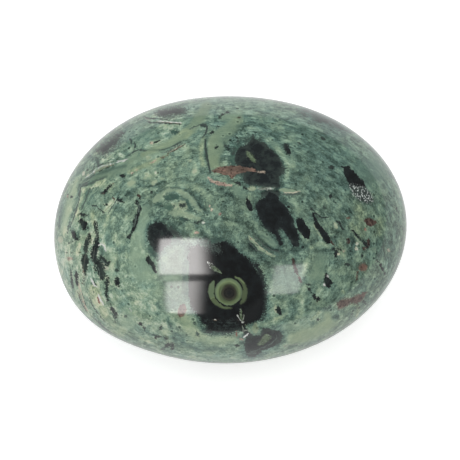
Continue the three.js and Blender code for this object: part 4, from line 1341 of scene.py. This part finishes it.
    # Small dark specks, each in a pale ring, in one cell of five.
    speck_choice = new("SeparateXYZ", (dots.outputs["Color"],)).outputs[0]
    speck_on = new("Math", (speck_choice, 0.8), operation="GREATER_THAN")
    speck = new("MapRange", (dots, 0.3, 0.12, 0.0, -0.3), **SMOOTH)
    speck_ring = new("MapRange", (dots, 0.45, 0.28, 0.0, 0.09), **SMOOTH)
    speck = new("Math", (speck, speck_ring), operation="ADD")
    speck = new("Math", (speck, speck_on), operation="MULTIPLY")
    value = new("Math", (value, speck), operation="ADD")

    # Towards the orbs the ground darkens and turns blue, with a thin paler ring beyond.
    near_orb = new("MapRange", (halo, 1.3, 0.0), **SMOOTH)
    shade = new("Math", (near_orb, -0.13), operation="MULTIPLY")
    ring_out = new("MapRange", (halo, 2.1, 1.3, 0.0, 0.05), **SMOOTH)
    value = new("Math", (value, shade), operation="ADD")
    value = new("Math", (value, ring_out), operation="ADD")

    ground_colour = fill_ramp(new("ValToRGB", (value,)), GROUND_TONES)
    tint_noise = new("TexNoise", {"Vector": felt, "Scale": 1 / TINT_PATCH, "Detail": 4.0,
                                  "Roughness": 0.75})
    tint = new("Math", (tint_noise, 0.5), operation="SUBTRACT")
    tint = new("Math", (tint, calm_share), operation="MULTIPLY")
    tint = new("Math", (tint, 1.9, olive), operation="MULTIPLY_ADD")
    tint = new("Math", (near_orb, -0.3, tint), operation="MULTIPLY_ADD")
    tint_colour = new("Mix", {0: tint, 6: BLUER, 7: TANNER}, data_type="RGBA")
    colour = new("Mix", {0: 1.0, 6: ground_colour, 7: tint_colour}, data_type="RGBA",
                 blend_type="MULTIPLY")

    layers = []  # the share of each layer of marks, and its colour, from the lowest

    # Pale marks, with some of the ground's grain left in them.
    distance, soft, tone = measured("pale")
    grain_tone = new("Math", (felt_sum, 0.9, tone), operation="MULTIPLY_ADD")
    pale_colour = fill_ramp(new("ValToRGB", (grain_tone,)), PALE_TONES)
    layers.append((inside(distance, soft), pale_colour))

    # Black marks, clouded with blue-green.
    distance, soft, tone = measured("ink")
    cloud = new("TexNoise", {"Vector": felt, "Scale": 1 / CLOUD, "Detail": 4.0, "Roughness": 0.65})
    cloud = new("MapRange", (cloud, 0.4, 0.75, -0.05, 0.3))
    clouded = new("Math", (cloud, tone), operation="ADD")
    edge_haze = new("MapRange", (distance, -1.0, 0.2, 0.0, 0.17), **SMOOTH)
    clouded = new("Math", (edge_haze, near_orb, clouded), operation="MULTIPLY_ADD")
    ink_colour = fill_ramp(new("ValToRGB", (clouded,)), INK_TONES)
    inked = inside(distance, soft, sway=1.0, frayed=1.9)
    layers.append((inked, ink_colour))

    # The eye in the largest orb: crescents, and a brown-black core in a green iris of fine rings.
    distance, soft, tone = measured("crescent")
    crescent_colour = fill_ramp(new("ValToRGB", (tone,)), EYE_TONES)
    layers.append((inside(distance, soft, sway=0.2, frayed=0.6), crescent_colour))
    radius, eye_x, eye_y = measured("eye")
    ring_place = new("Math", (radius, 7.0), operation="MULTIPLY")
    ring_place = new("CombineXYZ", (ring_place, eye_x, eye_y))
    fine_rings = new("TexNoise", {"Vector": ring_place, "Scale": 1.0, "Detail": 2.0,
                                  "Roughness": 0.6})
    fine_rings = new("Math", (fine_rings, 0.5), operation="SUBTRACT")
    eye_tone = new("Math", (fine_rings, 0.22, radius), operation="MULTIPLY_ADD")
    eye_colour = fill_ramp(new("ValToRGB", (eye_tone,)), EYE_TONES)
    eye_light = new("Math", (fine_rings, 1.1, 1.0), operation="MULTIPLY_ADD")
    eye_light = new("Math", (eye_x, -0.1, eye_light), operation="MULTIPLY_ADD")
    eye_colour = new("VectorMath", {0: eye_colour, 3: eye_light}, operation="SCALE")
    iris_edge = new("Math", (wander, 0.12, radius), operation="MULTIPLY_ADD")
    iris = new("MapRange", (iris_edge, 1.1, 1.0), **SMOOTH)
    layers.append((iris, eye_colour))

    # Rusty, olive and white flecks, mottled.
    distance, soft, tone = measured("fleck")
    fleck_tone = new("Math", (grains, 0.22, tone), operation="MULTIPLY_ADD")
    fleck_colour = fill_ramp(new("ValToRGB", (fleck_tone,)), VEIN_TONES)
    fleck_light = new("MapRange", (felt_sum, -0.25, 0.25, 0.6, 1.25))
    fleck_colour = new("VectorMath", {0: fleck_colour, 3: fleck_light}, operation="SCALE")
    crumbly = new("TexVoronoi", {"Vector": place, "Scale": 1 / CRUMB})
    crumbly = new("MapRange", (crumbly, 0.36, 0.26, 1.06, 0.45))
    fleck_colour = new("VectorMath", {0: fleck_colour, 3: crumbly}, operation="SCALE")
    flecked = inside(distance, soft, sway=0.7)
    layers.append((flecked, fleck_colour))

    for name in ("thread_a", "thread_b"):
        layers.append(threaded(name))

    # The pitted patch: white crumbs a quarter of a millimetre across in an open black ground.
    pits = new("TexVoronoi", {"Vector": place, "Scale": 1 / PIT})
    pit_colour = fill_ramp(new("ValToRGB", (pits,)), PIT_TONES)
    pit_choice = new("Math", (pitted, 0.9), operation="MULTIPLY")
    layers.append((pit_choice, pit_colour))

    for share, top in layers:
        colour = new("Mix", {0: share, 6: colour, 7: top}, data_type="RGBA")

    # The softer grains are polished a hair lower than the hard black ones.
    relief = new("Math", (felt_sum, -0.4, inked), operation="MULTIPLY_ADD")
    relief = new("Bump", {"Height": relief, "Strength": 0.25, "Distance": RELIEF * MM})
    roughness = new("MapRange", {0: pitted, 3: polish, 4: 0.4})
    shader = new("BsdfPrincipled", {"Base Color": colour, "Roughness": roughness, "Normal": relief,
                                    "IOR": 1.54})
    new("OutputMaterial", {"Surface": shader})
    return material


class PalmStoneSizes(bpy.types.PropertyGroup):
    """What the stone measures and how well it is polished."""

    half_length: bpy.props.FloatProperty(
        name="Half length", description="Half of the stone's length before its swells",
        default=31.9 * MM, min=0.005, unit="LENGTH", precision=4)
    half_width: bpy.props.FloatProperty(
        name="Half width", description="Half of the stone's width before its swells",
        default=23.8 * MM, min=0.005, unit="LENGTH", precision=4)
    half_thickness: bpy.props.FloatProperty(
        name="Half thickness", description="Half of the stone's thickness before its swells",
        default=17.6 * MM, min=0.005, unit="LENGTH", precision=4)
    polish: bpy.props.FloatProperty(
        name="Polish", description="Roughness of the polished face, 0 for a mirror",
        default=0.09, min=0, max=1, subtype="FACTOR")


class PalmStoneStudio(bpy.types.PropertyGroup):
    """The studio's colours and lights."""

    floor_colour: bpy.props.FloatVectorProperty(
        name="Floor colour", description="The pale sweep under the stone",
        default=linear("#f4f4f4")[:3], min=0, max=1, subtype="COLOR", size=3)
    window_glow: bpy.props.FloatProperty(
        name="Window glow", description="Radiance of the window-like softboxes",
        default=11.0, min=0, precision=1)
    fill_glow: bpy.props.FloatProperty(
        name="Fill glow", description="Radiance of the large overhead fill",
        default=1.35, min=0, precision=2)


class PALMSTONE_OT_stone(bpy.types.Operator):
    """Builds the stone with its markings and its polish"""

    bl_idname = "palmstone.stone"
    bl_label = "Palm Stone"
    bl_options = {"REGISTER", "UNDO"}

    def execute(self, context):
        sizes = context.scene.palm_stone_sizes
        halves = (sizes.half_length, sizes.half_width, sizes.half_thickness)
        raw, placed, squares = stone_form([half / MM for half in halves])
        mesh = bpy.data.meshes.new("palm_stone")
        mesh.from_pydata(placed * MM, [], squares.tolist())
        mesh.shade_smooth()
        mesh.update()
        normals = np.empty(len(raw) * 3, np.float32)
        mesh.vertices.foreach_get("normal", normals)
        for name, values in measure_marks(raw, normals.reshape(-1, 3).astype(float)).items():
            layer = mesh.attributes.new(name, "FLOAT_VECTOR", "POINT")
            layer.data.foreach_set("vector", values.astype(np.float32).reshape(-1))
        mesh.materials.append(kambaba_jasper(sizes.polish))
        stone = bpy.data.objects.new("palm_stone", mesh)
        context.scene.collection.objects.link(stone)
        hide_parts(NODE)
        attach(stone, BODY)
        return {"FINISHED"}


# (name, middle's direction, direction of its width, width and height as parts of the distance,
# share of the glow, left and right edges at its foot, how much further right they are at its top,
# and how soft they are, as parts of its width)
WINDOWS = (
    ("upper window", (-0.310, -0.369, 0.875), (0.945, -0.095, 0.305), 0.500, 0.443, 1.02,
     (0.06, 0.83), (0.0, 0.02), (0.03, 0.18)),
    ("glazing bar", (-0.322, -0.611, 0.757), (0.937, -0.106, 0.345), 0.450, 0.110, 0.13,
     (0.05, 0.78), (0.0, 0.0), (0.05, 0.20)),
    ("lower window", (-0.279, -0.802, 0.528), (0.928, -0.117, 0.385), 0.427, 0.505, 0.72,
     (0.03, 0.53), (0.20, 0.34), (0.06, 0.18)),
    ("side window", (0.464, -0.577, 0.672), (0.860, 0.190, -0.470), 0.330, 0.420, 0.36,
     (0.10, 0.83), (0.0, 0.02), (0.05, 0.03)),
)
WINDOW_DISTANCE = 1.5  # metres


class PALMSTONE_OT_studio(bpy.types.Operator):
    """Sets the pale floor, the softboxes, the surroundings and the camera"""

    bl_idname = "palmstone.studio"
    bl_label = "Studio"
    bl_options = {"REGISTER", "UNDO"}

    def execute(self, context):
        studio = context.scene.palm_stone_studio
        middle = Vector((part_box(NODE)[0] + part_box(NODE)[1]) / 2)
        self.lay_floor(context, studio)
        for window in WINDOWS:
            self.hang_window(context, studio, middle, *window)
        self.hang_fill(context, studio)
        self.paint_surroundings(context)
        self.place_camera(context)
        context.scene.view_settings.view_transform = "Standard"
        return {"FINISHED"}

    def lay_floor(self, context, studio):
        """A sweep of matt white paper, even and without a gleam."""
        material = bpy.data.materials.new("Matt white paper")
        material.use_nodes = True
        new = adder(material.node_tree)
        seen = new("LightPath").outputs["Is Camera Ray"]
        glow = new("MapRange", {0: seen, 3: 0.1, 4: 0.5})
        paper = new("BsdfPrincipled", {"Base Color": (*studio.floor_colour, 1.0), "Roughness": 0.9,
                                       "Emission Color": WHITE, "Emission Strength": glow})
        new("OutputMaterial", {"Surface": paper})
        mesh = bpy.data.meshes.new("paper_floor")
        half = 3.0
        mesh.from_pydata([(-half, -half, 0), (half, -half, 0), (half, half, 0), (-half, half, 0)],
                         [], [(0, 1, 2, 3)])
        mesh.materials.append(material)
        floor = bpy.data.objects.new("paper_floor", mesh)
        context.scene.collection.objects.link(floor)

    def hang_window(self, context, studio, middle, name, direction, sideways, width, height,
                    share, foot, lean, soft):
        """A softbox whose left and right edges lean and fade, seen only in the polish."""
        light = bpy.data.lights.new(name, "AREA")
        light.shape = "RECTANGLE"
        light.size = width * WINDOW_DISTANCE
        light.size_y = height * WINDOW_DISTANCE
        light.energy = studio.window_glow * share * math.pi * light.size * light.size_y
        light.color = (1.0, 0.97, 0.95)
        light.use_nodes = True
        new = adder(light.node_tree)
        across = new("NewGeometry").outputs["Parametric"]
        across, upwards, _ = new("SeparateXYZ", (across,)).outputs
        shown = []
        for edge, slope, width_of_edge, turned in zip(foot, lean, soft, (1, -1)):
            line = new("Math", (upwards, slope, edge), operation="MULTIPLY_ADD")
            beyond = new("Math", (across, line), operation="SUBTRACT")
            shown.append(new("MapRange", (beyond, -width_of_edge * turned, width_of_edge * turned),
                             **SMOOTH))
        both = new("Math", shown, operation="MULTIPLY")
        fabric = new("Emission", {"Strength": both})
        new("OutputLight", {"Surface": fabric})
        lamp = bpy.data.objects.new(name, light)
        back = Vector(direction).normalized()
        side = Vector(sideways)
        side = (side - back * side.dot(back)).normalized()
        turn = Matrix((side, back.cross(side), back)).transposed().to_4x4()
        turn.translation = middle + back * WINDOW_DISTANCE
        lamp.matrix_world = turn
        lamp.visible_camera = False
        lamp.visible_diffuse = False
        context.scene.collection.objects.link(lamp)

    def hang_fill(self, context, studio):
        """A broad overhead light, too soft to cast a shadow and kept out of the polish."""
        light = bpy.data.lights.new("overhead fill", "AREA")
        light.shape = "DISK"
        light.size = 4.0
        light.energy = studio.fill_glow * math.pi * math.pi * (light.size / 2) ** 2
        lamp = bpy.data.objects.new("overhead fill", light)
        lamp.location = (-0.3, 0.2, 1.6)
        lamp.visible_camera = False
        lamp.visible_glossy = False
        context.scene.collection.objects.link(lamp)

    def paint_surroundings(self, context):
        """Dim around the stone, so that its black orbs stay black; pale where it is looked at."""
        world = bpy.data.worlds.new("studio")
        world.use_nodes = True
        new = adder(world.node_tree)
        seen = new("LightPath").outputs["Is Camera Ray"]
        glow = new("MapRange", {0: seen, 3: 0.2, 4: 0.9})
        background = new("Background", {"Color": WHITE, "Strength": glow})
        new("OutputWorld", {"Surface": background})
        context.scene.world = world

    def place_camera(self, context):
        """The photograph's view: from the front, steeply down, and far off."""
        data = bpy.data.cameras.new("camera")
        data.sensor_fit = "HORIZONTAL"
        data.sensor_width = SENSOR_WIDTH
        data.lens = SENSOR_WIDTH * VIEW_DISTANCE / (FRAME_UNITS * UNIT)
        data.clip_start, data.clip_end = 0.01, 50
        camera = bpy.data.objects.new("camera", data)
        picture_middle = (FRAME_UNITS - 1) / 2
        aside = (picture_middle - STONE_IN_FRAME[0]) * UNIT * MM
        upwards = (STONE_IN_FRAME[1] - picture_middle) * UNIT * MM
        camera.location = (Vector(STONE_MIDDLE) * MM + Vector(FACING) * VIEW_DISTANCE * MM
                           + Vector(RIGHTWARDS) * aside + Vector(UPWARDS) * upwards)
        camera.rotation_euler = (math.pi / 2 - VIEW_ELEVATION, 0, 0)
        context.scene.collection.objects.link(camera)
        context.scene.camera = camera


class PALMSTONE_PT_panel(bpy.types.Panel):
    """Lists the stone's and the studio's settings and the buttons that build them"""

    bl_label = "Palm Stone"
    bl_idname = "PALMSTONE_PT_panel"
    bl_space_type = "VIEW_3D"
    bl_region_type = "UI"
    bl_category = "Palm Stone"

    def draw(self, context):
        layout = self.layout
        scene = context.scene
        for name in ("half_length", "half_width", "half_thickness", "polish"):
            layout.prop(scene.palm_stone_sizes, name)
        layout.operator("palmstone.stone")
        for name in ("floor_colour", "window_glow", "fill_glow"):
            layout.prop(scene.palm_stone_studio, name)
        layout.operator("palmstone.studio")


CLASSES = (PalmStoneSizes, PalmStoneStudio, PALMSTONE_OT_stone, PALMSTONE_OT_studio,
           PALMSTONE_PT_panel)


def register():
    for each in CLASSES:
        bpy.utils.register_class(each)
    bpy.types.Scene.palm_stone_sizes = bpy.props.PointerProperty(type=PalmStoneSizes)
    bpy.types.Scene.palm_stone_studio = bpy.props.PointerProperty(type=PalmStoneStudio)


def unregister():
    del bpy.types.Scene.palm_stone_studio
    del bpy.types.Scene.palm_stone_sizes
    for each in reversed(CLASSES):
        bpy.utils.unregister_class(each)


def main():
    register()
    bpy.ops.palmstone.stone()
    bpy.ops.palmstone.studio()


if __name__ == "__main__":
    main()
